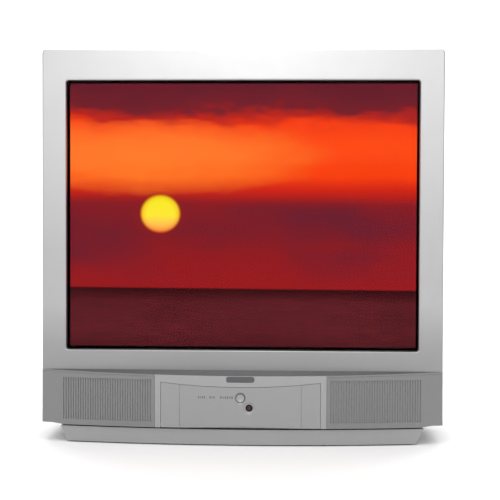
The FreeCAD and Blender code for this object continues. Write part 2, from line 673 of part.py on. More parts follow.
def funnel():
    outer = loft("funnel_outer", funnel_sections(0, 0), False)
    inner = loft("funnel_inner", funnel_sections(7, 0.5), False)
    node("crt_funnel", cut("crt_funnel", outer, inner))
    neck = tube("neck_tube", "neck_radius", "neck_radius - 1.8", ("0", f"{NECK} + 0.2", TUBE_Z), "neck_length")
    cap = cylinder("neck_cap", "neck_radius", "Y", ("0", f"{NECK} + neck_length - 2", TUBE_Z), 2.2)
    node("crt_neck", fuse("crt_neck", neck, cap))
    grids = [(14, 22, 9), (38, 12, 10), (52, 18, 9.2), (72, 5, 7), (79, 8, 6)]
    cups = [tube("gun_cup", radius, radius - 1, ("0", f"{NECK} + {start}", TUBE_Z), length)
            for start, length, radius in grids]
    rods = [box("gun_rod", (f"{side} * 10.6 - 0.9", f"{side} * 10.6 + 0.9"), (f"{NECK} + 12", f"{NECK} + 90"),
                (f"{TUBE_Z} - 2", f"{TUBE_Z} + 2")) for side in (-1, 1)]
    node("electron_gun", group("electron_gun", cups + rods))


def rim_band():
    """The steel band round the glass, with a mounting ear at each corner."""
    band_y = f"({GLASS} + 40)"
    outer = rounded("glass_width + 3", "glass_height + 3", "glass_round + 1.5", ("0", TUBE_Z))
    inner = rounded("glass_width + 0.2", "glass_height + 0.2", "glass_round + 0.1", ("0", TUBE_Z))
    band = prism("band", "XZ_Plane", band_y, f"{band_y} + 30", outer, inner)
    ear_y = f"({FRONT} + skin + 59)"
    ears = [
        box("ear", (f"{sx} * 293 - 14", f"{sx} * 293 + 14"), (ear_y, f"{ear_y} + 2"),
            (f"{TUBE_Z} + {sz} * 226.5 - 14", f"{TUBE_Z} + {sz} * 226.5 + 14"))
        for sx in (-1, 1) for sz in (-1, 1)
    ]
    glass_space = prism("glass_space", "XZ_Plane", f"{band_y} - 20", f"{band_y} + 60", inner)
    holes = [
        cylinder("ear_hole", 3.2, "Y", (f"{sx} * 297", f"{ear_y} - 5", f"{TUBE_Z} + {sz} * 230.5"), 12)
        for sx in (-1, 1) for sz in (-1, 1)
    ]
    node("rim_band", cut("rim_band", fuse("band_and_ears", band, *ears), glass_space, *holes))
    screws = [
        fuse("tube_screw",
             cylinder("screw_head", 6, "Y", (f"{sx} * 297", f"{ear_y} + 2", f"{TUBE_Z} + {sz} * 230.5"), 4),
             cylinder("screw_shank", 2.1, "Y", (f"{sx} * 297", f"{ear_y} - 28", f"{TUBE_Z} + {sz} * 230.5"), 31))
        for sx in (-1, 1) for sz in (-1, 1)
    ]
    node("tube_screws", group("tube_screws", screws))


def degauss_coil():
    """The taped loop of copper round the funnel, behind the rim band."""
    body = new_body("degauss_coil")
    path = add_sketch(body, "XZ_Plane", f"-({SEAL} + 10)", [tube_outline(300, 233.5, 40)])
    profile = body.newObject("Sketcher::SketchObject", "degauss_profile")
    support = next(item for item in body.Origin.OriginFeatures if item.Role == "YZ_Plane")
    profile.AttachmentSupport = [(support, "")]
    profile.MapMode = "FlatFace"
    profile.addGeometry(Part.Circle(Vector(0, 0, 0), Vector(0, 0, 1), 6), False)
    bound_constraint(profile, "DistanceX", (-1, 1, 0, 3), f"{SEAL} + 10")
    bound_constraint(profile, "DistanceY", (-1, 1, 0, 3), f"{TUBE_Z} + 233.5")
    bound_constraint(profile, "Radius", (0,), "6")
    DOC.recompute()
    pipe = body.newObject("PartDesign::AdditivePipe", "degauss_pipe")
    pipe.Profile = profile
    pipe.Spine = path
    node("degauss_coil", body)


def split(name, turned, plane):
    """A turned solid sawn into two halves by a thin gap."""
    gap = {"Z": (("-200", "200"), (f"{TUBE_Z} - 0.5", f"{TUBE_Z} + 0.5")),
           "X": (("-0.5", "0.5"), (f"{TUBE_Z} - 200", f"{TUBE_Z} + 200"))}[plane]
    return node(name, cut(name, turned, box(name + "_gap", gap[0], ("-300", "300"), gap[1])))


def deflection_yoke():
    """Former, coils and ferrite core, nested round the funnel's throat."""
    former = revolved("former_profile", "0", TUBE_Z, [
        (f"{NECK} - 46", "57"), (f"{NECK} - 46", "84"), (f"{NECK} - 43", "84"), (f"{NECK} - 43", "59"),
        (f"{NECK} - 26", "40"), (f"{NECK} + 2", "19.5"), (f"{NECK} + 18", "19.5"), (f"{NECK} + 18", "34"),
        (f"{NECK} + 20.5", "34"), (f"{NECK} + 20.5", "17"), (f"{NECK} + 2", "17"), (f"{NECK} - 27", "37.5")])
    node("yoke_former", former)
    split("horizontal_coils", revolved("line_coils", "0", TUBE_Z, [
        (f"{NECK} - 42", "61"), (f"{NECK} - 42", "78"), (f"{NECK} - 36", "78"), (f"{NECK} - 25", "47"),
        (f"{NECK} + 3", "26"), (f"{NECK} + 16", "31"), (f"{NECK} + 16", "20"), (f"{NECK} + 3", "20"),
        (f"{NECK} - 25", "41")]), "Z")
    split("vertical_coils", revolved("frame_coils", "0", TUBE_Z, [
        (f"{NECK} - 33.5", "75"), (f"{NECK} - 29", "76"), (f"{NECK} - 22", "56"), (f"{NECK} + 4", "33"),
        (f"{NECK} + 9", "36"), (f"{NECK} + 9", "29.4"), (f"{NECK} + 4", "27.2"), (f"{NECK} - 22.5", "47.2")]), "X")
    core = revolved("core_profile", "0", TUBE_Z, [
        (f"{NECK} - 20.5", "58"), (f"{NECK} - 20.5", "75"), (f"{NECK} - 2", "57"), (f"{NECK} - 2", "42")])
    node("yoke_core", core)


def convergence_rings():
    """Six flat magnet rings that turn on a sleeve clamped to the neck."""
    sleeve = tube("ring_sleeve", "ring_inner", "neck_radius + 0.1", ("0", f"{NECK} + 23", TUBE_Z), 30)
    front_collar = tube("ring_collar", 22, "neck_radius + 0.1", ("0", f"{NECK} + 23", TUBE_Z), 5)
    rear_collar = tube("ring_collar", 22, "neck_radius + 0.1", ("0", f"{NECK} + 49.5", TUBE_Z), 5)
    slit = box("sleeve_slit", ("-1.5", "1.5"), (f"{NECK} + 22", f"{NECK} + 56"),
               (f"{TUBE_Z} - 24", f"{TUBE_Z} - 13"))
    node("ring_holder", cut("ring_holder", fuse("ring_sleeves", sleeve, front_collar, rear_collar), slit))
    for index, name in enumerate(RING_NAMES):
        start = f"{NECK} + {RING_START} + {index} * {RING_PITCH}"
        disc = cylinder(name + "_disc", 26, "Y", ("0", start, TUBE_Z), 2)
        angle = 25 * index - 62
        tab = turned_tab(name + "_tab", angle, start)
        bore = cylinder(name + "_bore", "ring_inner + ring_clear", "Y", ("0", f"{start} - 1", TUBE_Z), 4)
        node(name, cut(name, fuse(name + "_blank", disc, tab), bore))


def turned_tab(name, angle, start):
    """A finger tab that points away from the neck's centre line at an angle."""
    reach, half = 20, 3
    radians = math.radians(angle)
    tab = box(name, ("0", 2 * half), ("0", "2"), ("0", "14"))
    tab.Placement = Placement(Vector(), Rotation(Vector(0, 1, 0), angle))
    bind(tab, "Placement.Base.x", str(reach * math.sin(radians) - half * math.cos(radians)))
    bind(tab, "Placement.Base.y", start)
    bind(tab, "Placement.Base.z", f"{TUBE_Z} + {reach * math.cos(radians) + half * math.sin(radians)}")
    return tab


def neck_electronics():
    """The socket on the tube's pins, its board and the high-voltage cap."""
    end = f"({NECK} + neck_length + 0.5)"
    socket = fuse("socket_mass", cylinder("socket_base", 17, "Y", ("0", end, TUBE_Z), 8),
                  box("socket_block", ("-11", "11"), (end, f"{end} + 8"), (f"{TUBE_Z} - 24", f"{TUBE_Z}")))
    node("crt_socket", socket)
    board = box("neck_plate", ("-48", "48"), (f"{end} + 8", f"{end} + 8 + board_thick"),
                (f"{TUBE_Z} - 52", f"{TUBE_Z} + 34"))
    node("neck_board", board)
    cap = revolved_cap("anode_cap", f"{SEAL} + 79", f"{TUBE_Z} + 152.3")
    node("anode_cap", cap)


def revolved_cap(name, depth, height):
    """A rubber cup that stands on the funnel, tilted along its slope."""
    body = new_body(name)
    sketch = add_sketch(body, "YZ_Plane", "0", [[
        ("0", "0"), ("0", "26"), ("1.6", "26"), ("5", "14"), ("16", "9"), ("20", "6"), ("20", "0")]])
    turn = body.newObject("PartDesign::Revolution", unique(name + "_turn"))
    turn.Profile = sketch
    turn.ReferenceAxis = (sketch, ["H_Axis"])
    turn.Angle = 360
    body.Placement = Placement(Vector(), Rotation(Vector(1, 0, 0), 38))
    bind(body, "Placement.Base.y", depth)
    bind(body, "Placement.Base.z", height)
    return body


# ---- the chassis, the speakers and the back ----

def chassis():
    """The tray, the main board and what stands on it."""
    top = "(board_z + board_thick)"
    tray = cut("tray_cut", box("tray_outer", ("-176", "176"), ("-66", "216"), ("base_top + skin", "board_z")),
               box("tray_inner", ("-166", "166"), ("-56", "206"), ("base_top", "board_z + 1")))
    node("chassis_tray", tray)
    node("main_board", box("main_board", ("-174", "174"), ("-64", "214"), ("board_z", top)))
    flyback = fuse("flyback_mass",
                   box("flyback_block", ("96", "136"), ("58", "104"), (top, f"{top} + 58")),
                   cylinder("flyback_pot", 15, "Z", ("116", "126", top), 46),
                   box("flyback_neck", ("106", "126"), ("98", "120"), (top, f"{top} + 40")))
    node("flyback_transformer", flyback)
    winding = cylinder("supply_winding", 17, "Z", ("-90", "80", f"{top} + 4"), 24)
    node("supply_transformer", fuse("supply_mass", winding,
                                    box("supply_bottom", ("-110", "-70"), ("66", "94"), (top, f"{top} + 6")),
                                    box("supply_top", ("-110", "-70"), ("66", "94"), (f"{top} + 26", f"{top} + 33")),
                                    box("supply_left", ("-112", "-106"), ("66", "94"), (top, f"{top} + 33")),
                                    box("supply_right", ("-74", "-68"), ("66", "94"), (top, f"{top} + 33"))))
    cans = [(-122, 22, 15, 42), (-90, 20, 9, 26), (-60, 30, 8, 24), (-30, 10, 6, 16), (0, 40, 6, 16),
            (30, 20, 8, 22), (60, 40, 6, 14), (20, 90, 5, 12), (-20, 120, 6, 16), (50, 140, 8, 20)]
    node("capacitors", group("capacitors", [
        cylinder("can", radius, "Z", (x, y, top), height) for x, y, radius, height in cans]))
    sinks = []
    for x, y in ((-154, 60), (70, -20)):
        plate = box("sink_plate", (f"{x} - 2", f"{x} + 2"), (f"{y} - 30", f"{y} + 30"), (top, f"{top} + 55"))
        fins = [box("sink_fin", (f"{x} - 14", f"{x} + 14"), (f"{y} + {step} - 1", f"{y} + {step} + 1"),
                    (f"{top} + 4", f"{top} + 55")) for step in (-26, -13, 0, 13, 26)]
        sinks.append(fuse("heat_sink", plate, *fins))
    node("heat_sinks", group("heat_sinks", sinks))


def rear_sockets():
    """The recessed terminal panel in the back, with its sockets."""
    floor = f"({BACK} - {RECESS})"
    tub = cut("tub", box("tub_outer", ("-150", "-30"), (f"{floor} - 2.5", f"{BACK} - 0.1"), ("50", "132")),
              box("tub_inner", ("-147.5", "-32.5"), (floor, f"{BACK} + 1"), ("52.5", "129.5")))
    spots = [(x, z) for x in JACK_COLUMNS for z in JACK_ROWS]
    holes = [cylinder("rear_guide", 5.7, "Y", (x, f"{floor} - 4", z), 8) for x, z in spots]
    holes.append(cylinder("antenna_guide", 6.2, "Y", (ANTENNA_X, f"{floor} - 4", ANTENNA_Z), 8))
    node("rear_panel", cut("rear_panel", tub, *holes))
    jacks = []
    for x, z in spots:
        collar = cylinder("rear_collar", 5.5, "Y", (x, f"{floor} - 11", z), 12)
        sleeve = cylinder("rear_sleeve", "jack_radius", "Y", (x, floor, z), 9)
        socket = cylinder("rear_bore", 1.6, "Y", (x, f"{floor} + 1", z), 9)
        jacks.append(cut("rear_jack", fuse("rear_body", collar, sleeve), socket))
    node("rear_av_jacks", group("rear_av_jacks", jacks))
    barrel = fuse("antenna_mass", cylinder("antenna_flange", 6, "Y", (ANTENNA_X, f"{floor} - 10", ANTENNA_Z), 11),
                  cylinder("antenna_barrel", 4.75, "Y", (ANTENNA_X, floor, ANTENNA_Z), 11))
    node("antenna_socket", cut("antenna_socket", barrel,
                               cylinder("antenna_bore", 1.2, "Y", (ANTENNA_X, f"{floor} + 2", ANTENNA_Z), 12)))
    tuner = box("tuner", ("-162", "-106"), (f"{floor} - 62", f"{floor} - 10"),
                ("board_z + board_thick", "board_z + board_thick + 46"))
    node("tuner", cut("tuner_can", tuner, box("tuner_slot", ("-150", "-118"), (f"{floor} - 50", f"{floor} - 24"),
                                              ("board_z + 46", "board_z + 60"))))
    gland = fuse("gland_mass", cylinder("gland_body", 7, "Y", (GLAND_X, f"{BACK} - 12", GLAND_Z), 11.9),
                 cylinder("gland_flange", 9.5, "Y", (GLAND_X, f"{BACK} - 12", GLAND_Z), 3))
    node("cord_gland", cut("cord_gland", gland, cylinder("gland_bore", 3.6, "Y",
                                                         (GLAND_X, f"{BACK} - 13", GLAND_Z), 14)))


def back_sections(inset, overrun):
    """Outlines of the back cover, which narrows in two steps and keeps a flat floor."""
    wide = f"({HALF} - {inset})"
    stops = (
        (f"{SPLIT} - {overrun}", wide, "cab_height"),
        (f"{SPLIT} + straight_length", wide, "cab_height"),
        (f"{SPLIT} + mid_length", f"(back_mid_half - {inset})", "back_mid_top"),
        (f"{BACK} - {inset}", f"(back_end_half - {inset})", "back_end_top"),
    )
    low = f"(base_top + {inset})"
    return [(depth, rounded(f"2 * {half}", f"({top} - {inset} - {low})", f"corner_round + 8 - {inset}",
                            ("0", f"({top} - {inset} + {low}) / 2")))
            for depth, half, top in stops]


def back_cover():
    outer = loft("back_outer", back_sections("0", "0"), True)
    inner = loft("back_inner", back_sections("back_wall", "1"), True)
    shell = cut("back_shell", outer, inner)
    wells = [
        common("screw_well", cylinder("well", 9, "Y", (x, f"{SPLIT} + 0.3", z), 160),
               loft("well_limit", back_sections("0.5", "0"), True))
        for x, z, *_ in CASE_SCREWS
    ]
    tools = [cylinder("well_bore", 6, "Y", (x, f"{SPLIT} + 4", z), 200) for x, z, *_ in CASE_SCREWS]
    tools += [cylinder("screw_pass", 2.6, "Y", (x, f"{SPLIT} - 1", z), 8) for x, z, *_ in CASE_SCREWS]
    tools.append(box("panel_hole", ("-150.3", "-29.7"), (f"{BACK} - 10", f"{BACK} + 1"), ("49.7", "132.3")))
    tools.append(cylinder("gland_hole", 7.2, "Y", (GLAND_X, f"{BACK} - 8", GLAND_Z), 10))
    for index in range(19):
        x = -144 + 16 * index
        tools.append(box("rear_vent", (x - 3, x + 3), (f"{BACK} - 10", f"{BACK} + 1"), ("300", "400")))
    for index in range(21):
        x = -170 + 17 * index
        tools.append(box("top_vent", (x - 3, x + 3), (f"{SPLIT} + 200", f"{SPLIT} + 300"), ("440", "560")))
    for side in (-1, 1):
        for index in range(9):
            y = 110 + 13 * index
            tools.append(box("side_vent", (f"{side} * 214 - 40", f"{side} * 214 + 40"), (y - 3, y + 3),
                             ("150", "280")))
    node("back_cover", cut("back_cover", fuse("back_mass", shell, *wells), *tools))
    screws = [
        fuse("case_screw", cylinder("case_head", 4, "Y", (x, f"{SPLIT} + 4", z), 3),
             cylinder("case_shank", 1.9, "Y", (x, f"{SPLIT} - 14", z), 19))
        for x, z, *_ in CASE_SCREWS
    ]
    node("case_screws", group("case_screws", screws))


def speaker(side, prefix):
    """A small full-range driver: basket, cone and, in the group of both, its magnet."""
    centre = f"{side} * speaker_x"
    seat = "(-219 + 0.2)"
    basket = revolved(prefix + "_basket", centre, "speaker_z", [
        (seat, "27"), (seat, "speaker_radius + 3.5"), (f"{seat} + 1.5", "speaker_radius + 3.5"), (f"{seat} + 1.5", "29"),
        (f"{seat} + 16", "18"), (f"{seat} + 16", "12"), (f"{seat} + 14.8", "12"), (f"{seat} + 14.8", "17")])
    node(prefix + "_speaker_basket", basket)
    cone_body = revolved(prefix + "_cone", centre, "speaker_z", [
        (f"{seat} - 0.1", "26.0"), (f"{seat} - 0.1", "25.2"), (f"{seat} - 1.8", "23.5"), (f"{seat} + 0.4", "21"),
        (f"{seat} + 9", "8.4"), (f"{seat} + 6.5", "0"), (f"{seat} + 8", "0"), (f"{seat} + 11", "9"),
        (f"{seat} + 1.6", "22"), (f"{seat} - 0.6", "23.6"), (f"{seat} + 1", "24.8"), (f"{seat} + 1", "26.0")])
    node(prefix + "_speaker_cone", cone_body)


def speaker_magnets():
    magnets = [
        fuse("magnet", tube("magnet_ring", 22, 8, (f"{side} * speaker_x", -202.6, "speaker_z"), 12),
             cylinder("magnet_plate", 20, "Y", (f"{side} * speaker_x", -191, "speaker_z"), 3))
        for side in (-1, 1)
    ]
    node("speaker_magnets", group("speaker_magnets", magnets))


def check_and_write():
    """Stops on any object that failed, then writes one STEP file for each piece."""
    DOC.recompute()
    failed = [obj.Name for obj in DOC.Objects if {"Invalid", "Error"} & set(obj.State)]
    if failed:
        raise RuntimeError(f"objects that failed to compute: {failed}")
    for name, obj in NODES.items():
        shape = obj.Shape
        if shape.isNull() or not shape.isValid() or not shape.Solids:
            raise RuntimeError(f"{name} has no valid solid")
    os.makedirs("parts", exist_ok=True)
    for name, obj in NODES.items():
        obj.Shape.exportStep(os.path.join("parts", name + ".step"))
        extent = obj.Shape.BoundBox
        print(f"{name:24s} solids {len(obj.Shape.Solids):2d} volume {obj.Shape.Volume:12.1f}"
              f"  x {extent.XMin:8.2f} {extent.XMax:8.2f}  y {extent.YMin:8.2f} {extent.YMax:8.2f}"
              f"  z {extent.ZMin:8.2f} {extent.ZMax:8.2f}")
    print(len(NODES), "pieces")


front_cabinet()
grille("left_grille", -1)
grille("right_grille", 1)
front_door()
control_panel()
power_button()
for button_name, button_x in SMALL_BUTTONS.items():
    small_button(button_name, button_x)
control_electronics()
badge()
plinth()
faceplate()
funnel()
rim_band()
degauss_coil()
deflection_yoke()
convergence_rings()
neck_electronics()
chassis()
rear_sockets()
back_cover()
speaker(-1, "left")
speaker(1, "right")
speaker_magnets()
check_and_write()
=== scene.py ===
import math
import random

import bmesh
import bpy
from mathutils import Matrix, Vector


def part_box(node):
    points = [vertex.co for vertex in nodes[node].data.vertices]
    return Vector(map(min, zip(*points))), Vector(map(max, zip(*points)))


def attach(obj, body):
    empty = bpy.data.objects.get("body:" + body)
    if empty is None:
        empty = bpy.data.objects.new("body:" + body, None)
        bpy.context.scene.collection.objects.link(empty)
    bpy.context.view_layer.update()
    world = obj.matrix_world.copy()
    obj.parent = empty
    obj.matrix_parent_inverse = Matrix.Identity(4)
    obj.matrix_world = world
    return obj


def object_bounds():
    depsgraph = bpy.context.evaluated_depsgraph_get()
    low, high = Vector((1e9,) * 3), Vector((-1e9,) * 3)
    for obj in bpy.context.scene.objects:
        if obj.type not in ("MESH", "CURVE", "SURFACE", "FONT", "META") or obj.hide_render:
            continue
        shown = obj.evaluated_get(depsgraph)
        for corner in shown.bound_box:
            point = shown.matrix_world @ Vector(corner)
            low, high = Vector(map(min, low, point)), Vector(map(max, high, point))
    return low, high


# The looks of a flat-screen tube television: materials for every CAD piece, and the small
# pieces that only the eye needs. Everything is in metres, in the CAD model's own frame.

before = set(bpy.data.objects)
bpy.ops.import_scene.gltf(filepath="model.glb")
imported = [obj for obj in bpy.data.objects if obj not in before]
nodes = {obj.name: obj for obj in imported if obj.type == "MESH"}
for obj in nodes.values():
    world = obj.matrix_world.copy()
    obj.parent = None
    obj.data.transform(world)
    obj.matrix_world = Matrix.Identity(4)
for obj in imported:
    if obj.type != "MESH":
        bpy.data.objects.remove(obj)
cad_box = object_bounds()
MM = 0.001
random.seed(27)


# ---- node materials ----

class Paint:
    """A node material being built round one Principled shader."""

    def __init__(self, name, roughness=0.5, metallic=0.0, specular=0.5):
        self.material = bpy.data.materials.new(name)
        self.material.use_nodes = True
        self.tree = self.material.node_tree
        self.tree.nodes.clear()
        self.output = self.tree.nodes.new("ShaderNodeOutputMaterial")
        self.shader = self.tree.nodes.new("ShaderNodeBsdfPrincipled")
        self.link(self.shader.outputs["BSDF"], self.output.inputs["Surface"])
        self.shader.inputs["Roughness"].default_value = roughness
        self.shader.inputs["Metallic"].default_value = metallic
        self.shader.inputs["Specular IOR Level"].default_value = specular
        self.place = self.add("ShaderNodeTexCoord").outputs["Object"]
        self.height = None

    def add(self, kind, **values):
        node = self.tree.nodes.new(kind)
        for key, value in values.items():
            setattr(node, key, value)
        return node

    def link(self, source, target):
        self.tree.links.new(source, target)

    def feed(self, target, value):
        """Sets a socket to a number, a colour or another node's output."""
        if isinstance(value, bpy.types.NodeSocket):
            self.link(value, target)
        elif isinstance(value, tuple) and len(value) == 3 and target.type == "RGBA":
            target.default_value = (*value, 1.0)
        else:
            target.default_value = value

    def math(self, operation, first, second=0.0, clamp=False):
        node = self.add("ShaderNodeMath", operation=operation, use_clamp=clamp)
        self.feed(node.inputs[0], first)
        self.feed(node.inputs[1], second)
        return node.outputs[0]

    def stretched(self, scale):
        """The surface place, scaled per axis."""
        node = self.add("ShaderNodeMapping")
        self.link(self.place, node.inputs["Vector"])
        node.inputs["Scale"].default_value = scale
        return node.outputs["Vector"]

    def noise(self, scale, detail=3.0, rough=0.55, stretch=None):
        node = self.add("ShaderNodeTexNoise")
        node.inputs["Scale"].default_value = scale
        node.inputs["Detail"].default_value = detail
        node.inputs["Roughness"].default_value = rough
        self.link(self.stretched(stretch) if stretch else self.place, node.inputs["Vector"])
        return node.outputs["Fac"]

    def cells(self, scale, feature="F1", output="Distance", stretch=None):
        node = self.add("ShaderNodeTexVoronoi", feature=feature)
        node.inputs["Scale"].default_value = scale
        self.link(self.stretched(stretch) if stretch else self.place, node.inputs["Vector"])
        return node.outputs[output]

    def waves(self, scale, direction="X", distortion=0.0):
        node = self.add("ShaderNodeTexWave", wave_type="BANDS", bands_direction=direction)
        node.inputs["Scale"].default_value = scale
        node.inputs["Distortion"].default_value = distortion
        self.link(self.place, node.inputs["Vector"])
        return node.outputs["Fac"]

    def axes(self):
        node = self.add("ShaderNodeSeparateXYZ")
        self.link(self.place, node.inputs[0])
        return node.outputs

    def ramp(self, value, *stops):
        """A colour ramp: each stop is (place, colour or grey)."""
        node = self.add("ShaderNodeValToRGB")
        self.link(value, node.inputs[0])
        elements = node.color_ramp.elements
        while len(elements) < len(stops):
            elements.new(0.5)
        for element, (spot, colour) in zip(elements, stops):
            element.position = spot
            element.color = (*colour, 1.0) if isinstance(colour, tuple) else (colour, colour, colour, 1.0)
        return node.outputs["Color"]

    def mix(self, share, first, second, blend="MIX"):
        node = self.add("ShaderNodeMix", data_type="RGBA", blend_type=blend)
        self.feed(node.inputs["Factor"], share)
        self.feed(node.inputs["A"], first)
        self.feed(node.inputs["B"], second)
        return node.outputs["Result"]

    def step(self, value, edge, soft=0.0004):
        """0 below an edge and 1 above it, with a narrow blend."""
        node = self.add("ShaderNodeMapRange", clamp=True)
        self.feed(node.inputs["Value"], value)
        node.inputs["From Min"].default_value = edge - soft
        node.inputs["From Max"].default_value = edge + soft
        return node.outputs["Result"]

    def colour(self, value):
        self.feed(self.shader.inputs["Base Color"], value)
        return self

    def rough(self, value, low, high):
        node = self.add("ShaderNodeMapRange")
        self.feed(node.inputs["Value"], value)
        node.inputs["To Min"].default_value = low
        node.inputs["To Max"].default_value = high
        self.link(node.outputs["Result"], self.shader.inputs["Roughness"])
        return self

    def bump(self, value, distance, strength=1.0):
        """Adds a height layer. Layers stack in the order they are added."""
        node = self.add("ShaderNodeBump")
        node.inputs["Distance"].default_value = distance
        node.inputs["Strength"].default_value = strength
        self.feed(node.inputs["Height"], value)
        if self.height:
            self.link(self.height, node.inputs["Normal"])
        self.height = node.outputs["Normal"]
        self.link(self.height, self.shader.inputs["Normal"])
        return self


def shade(first, share):
    """A colour made lighter or darker by a share."""
    return tuple(channel * share for channel in first)


def lacquer(name, tone, metallic=0.35, roughness=0.36):
    """Satin silver lacquer over moulded plastic: fine flake, faint mottling and orange peel."""
    paint = Paint(name, roughness, metallic, 0.45)
    cells = paint.cells(5200.0, output="Color")
    flake = paint.ramp(cells, (0.0, shade(tone, 0.93)), (1.0, shade(tone, 1.07)))
    mottle = paint.ramp(paint.noise(9.0, 4.0), (0.3, 0.965), (0.7, 1.0))
    paint.colour(paint.mix(1.0, flake, mottle, "MULTIPLY"))
    paint.rough(paint.noise(60.0, 5.0), roughness - 0.04, roughness + 0.06)
    paint.bump(paint.noise(900.0, 3.0), 0.00004, 0.5)
    paint.bump(paint.noise(210.0, 2.0), 0.00006, 0.25)
    return paint


def case_paint():
    """The cabinet: bright silver above, a deeper silver on the lower panel, black in the rebates, and painted
    shade that darkens the bezel towards the bottom and the upward faces low down.
    """
    bright, deep, black = (0.52, 0.52, 0.524), (0.36, 0.36, 0.365), (0.025, 0.025, 0.027)
    paint = lacquer("case_lacquer", bright, 0.85, 0.32)
    across, depth, up = paint.axes()
    below = paint.math("SUBTRACT", 1.0, paint.step(up, PANEL_TOP + 0.0006, 0.0003))
    ahead = paint.math("SUBTRACT", 1.0, paint.step(depth, BEZEL_Y - 0.0006, 0.0003))
    panel = paint.math("MULTIPLY", below, ahead)
    outward = paint.step(paint.math("ABSOLUTE", across), GRILLE_INNER - 0.0006)
    level = paint.add("ShaderNodeNewGeometry").outputs["True Normal"]
    facing = paint.add("ShaderNodeSeparateXYZ")
    paint.link(level, facing.inputs[0])
    ledge = paint.step(facing.outputs[2], 0.5, 0.1)
    wall = paint.math("SUBTRACT", 1.0, ledge)
    rebate = paint.math("MULTIPLY", paint.math("MULTIPLY", outward, panel), wall)
    rebate = paint.math("MULTIPLY", rebate, 0.35)
    flat = paint.shader.inputs["Base Color"].links[0].from_socket
    # Painted shade: the bezel's silver is darkened towards the bottom by this height ramp.
    shade_towards_bottom = paint.ramp(up, (PANEL_TOP, 0.60), (0.155, 0.68), (0.22, 0.94), (0.4, 1.0))
    toned = paint.mix(panel, paint.mix(1.0, flat, shade_towards_bottom, "MULTIPLY"), deep)
    # Painted shade: the upward face on top of the lower panel is painted dark grey.
    under_shelf = paint.math("SUBTRACT", 1.0, paint.step(up, PANEL_TOP + 0.002, 0.001))
    shelf_shade = paint.math("MULTIPLY", ledge, under_shelf)
    toned = paint.mix(shelf_shade, toned, (0.17, 0.17, 0.172))
    # Painted shade: every upward face below 16 cm is painted darker still.
    lip_shade = paint.math("MULTIPLY", ledge, paint.math("SUBTRACT", 1.0, paint.step(up, 0.16, 0.001)))
    toned = paint.mix(lip_shade, toned, (0.12, 0.12, 0.122))
    inner = paint.step(depth, BEZEL_Y + 0.0045, 0.0002)
    toned = paint.mix(rebate, toned, black)
    paint.colour(paint.mix(inner, toned, shade(bright, 0.55)))
    return paint.material


def grained_paint(name, tone, roughness=0.6, grain=1400.0, depth=0.00012, specular=0.4):
    """Spark-textured moulded plastic."""
    paint = Paint(name, roughness, 0.0, specular)
    patch = paint.ramp(paint.noise(14.0, 5.0), (0.25, shade(tone, 0.86)), (0.75, shade(tone, 1.12)))
    speck = paint.ramp(paint.noise(grain, 2.0), (0.3, 0.9), (0.7, 1.0))
    paint.colour(paint.mix(1.0, patch, speck, "MULTIPLY"))
    paint.rough(paint.noise(85.0, 4.0), roughness - 0.07, roughness + 0.09)
    paint.bump(paint.noise(grain, 3.0, 0.7), depth, 0.7)
    return paint


def grained(*values):
    return grained_paint(*values).material


def cover_paint():
    """The back cover's plastic, with a blank foil sticker printed with a plain border."""
    paint = grained_paint("charcoal_case", (0.060, 0.060, 0.063), 0.58, 1100.0, 0.00016)
    plastic = paint.shader.inputs["Base Color"].links[0].from_socket
    across, depth, up = paint.axes()
    from_middle = paint.math("ABSOLUTE", paint.math("SUBTRACT", across, LABEL_X))
    from_level = paint.math("ABSOLUTE", paint.math("SUBTRACT", up, LABEL_Z))

    def inside(half_width, half_height):
        wide = paint.math("SUBTRACT", 1.0, paint.step(from_middle, half_width, LABEL_EDGE))
        tall = paint.math("SUBTRACT", 1.0, paint.step(from_level, half_height, LABEL_EDGE))
        return paint.math("MULTIPLY", wide, tall)

    behind = paint.step(depth, cad_box[1].y - 0.0006, 0.0003)
    sticker = paint.math("MULTIPLY", inside(LABEL_HALF_WIDTH, LABEL_HALF_HEIGHT), behind)
    foil = paint.ramp(paint.noise(50.0, 4.0), (0.3, 0.30), (0.7, 0.35))
    within_border = inside(LABEL_HALF_WIDTH - LABEL_BORDER, LABEL_HALF_HEIGHT - LABEL_BORDER)
    bordered = paint.mix(within_border, (0.07, 0.07, 0.075), foil)
    paint.colour(paint.mix(sticker, plastic, bordered))
    return paint.material


def glossy(name, tone, roughness=0.22):
    """Smooth moulded plastic with a trace of flow marks."""
    paint = Paint(name, roughness, 0.0, 0.5)
    flow = paint.noise(30.0, 4.0, stretch=(1.0, 3.0, 0.6))
    paint.colour(paint.ramp(flow, (0.3, shade(tone, 0.92)), (0.7, shade(tone, 1.05))))
    paint.rough(paint.noise(140.0, 4.0), roughness - 0.06, roughness + 0.08)
    paint.bump(paint.noise(320.0, 2.0), 0.00003, 0.3)
    return paint.material


def plated(name, tone, roughness=0.3, stretch=(1.0, 1.0, 1.0), spangle=0.0):
    """Bare or plated metal with drawn marks, faint stains and, on zinc, spangle."""
    paint = Paint(name, roughness, 1.0, 0.5)
    marks = paint.noise(260.0, 6.0, 0.7, stretch)
    base = paint.ramp(marks, (0.25, shade(tone, 0.82)), (0.75, shade(tone, 1.08)))
    if spangle:
        flakes = paint.ramp(paint.cells(spangle, output="Color"), (0.0, 0.82), (1.0, 1.0))
        base = paint.mix(1.0, base, flakes, "MULTIPLY")
    paint.colour(base)
    paint.rough(paint.noise(50.0, 5.0), roughness - 0.08, roughness + 0.14)
    paint.bump(marks, 0.00003, 0.5)
    return paint.material


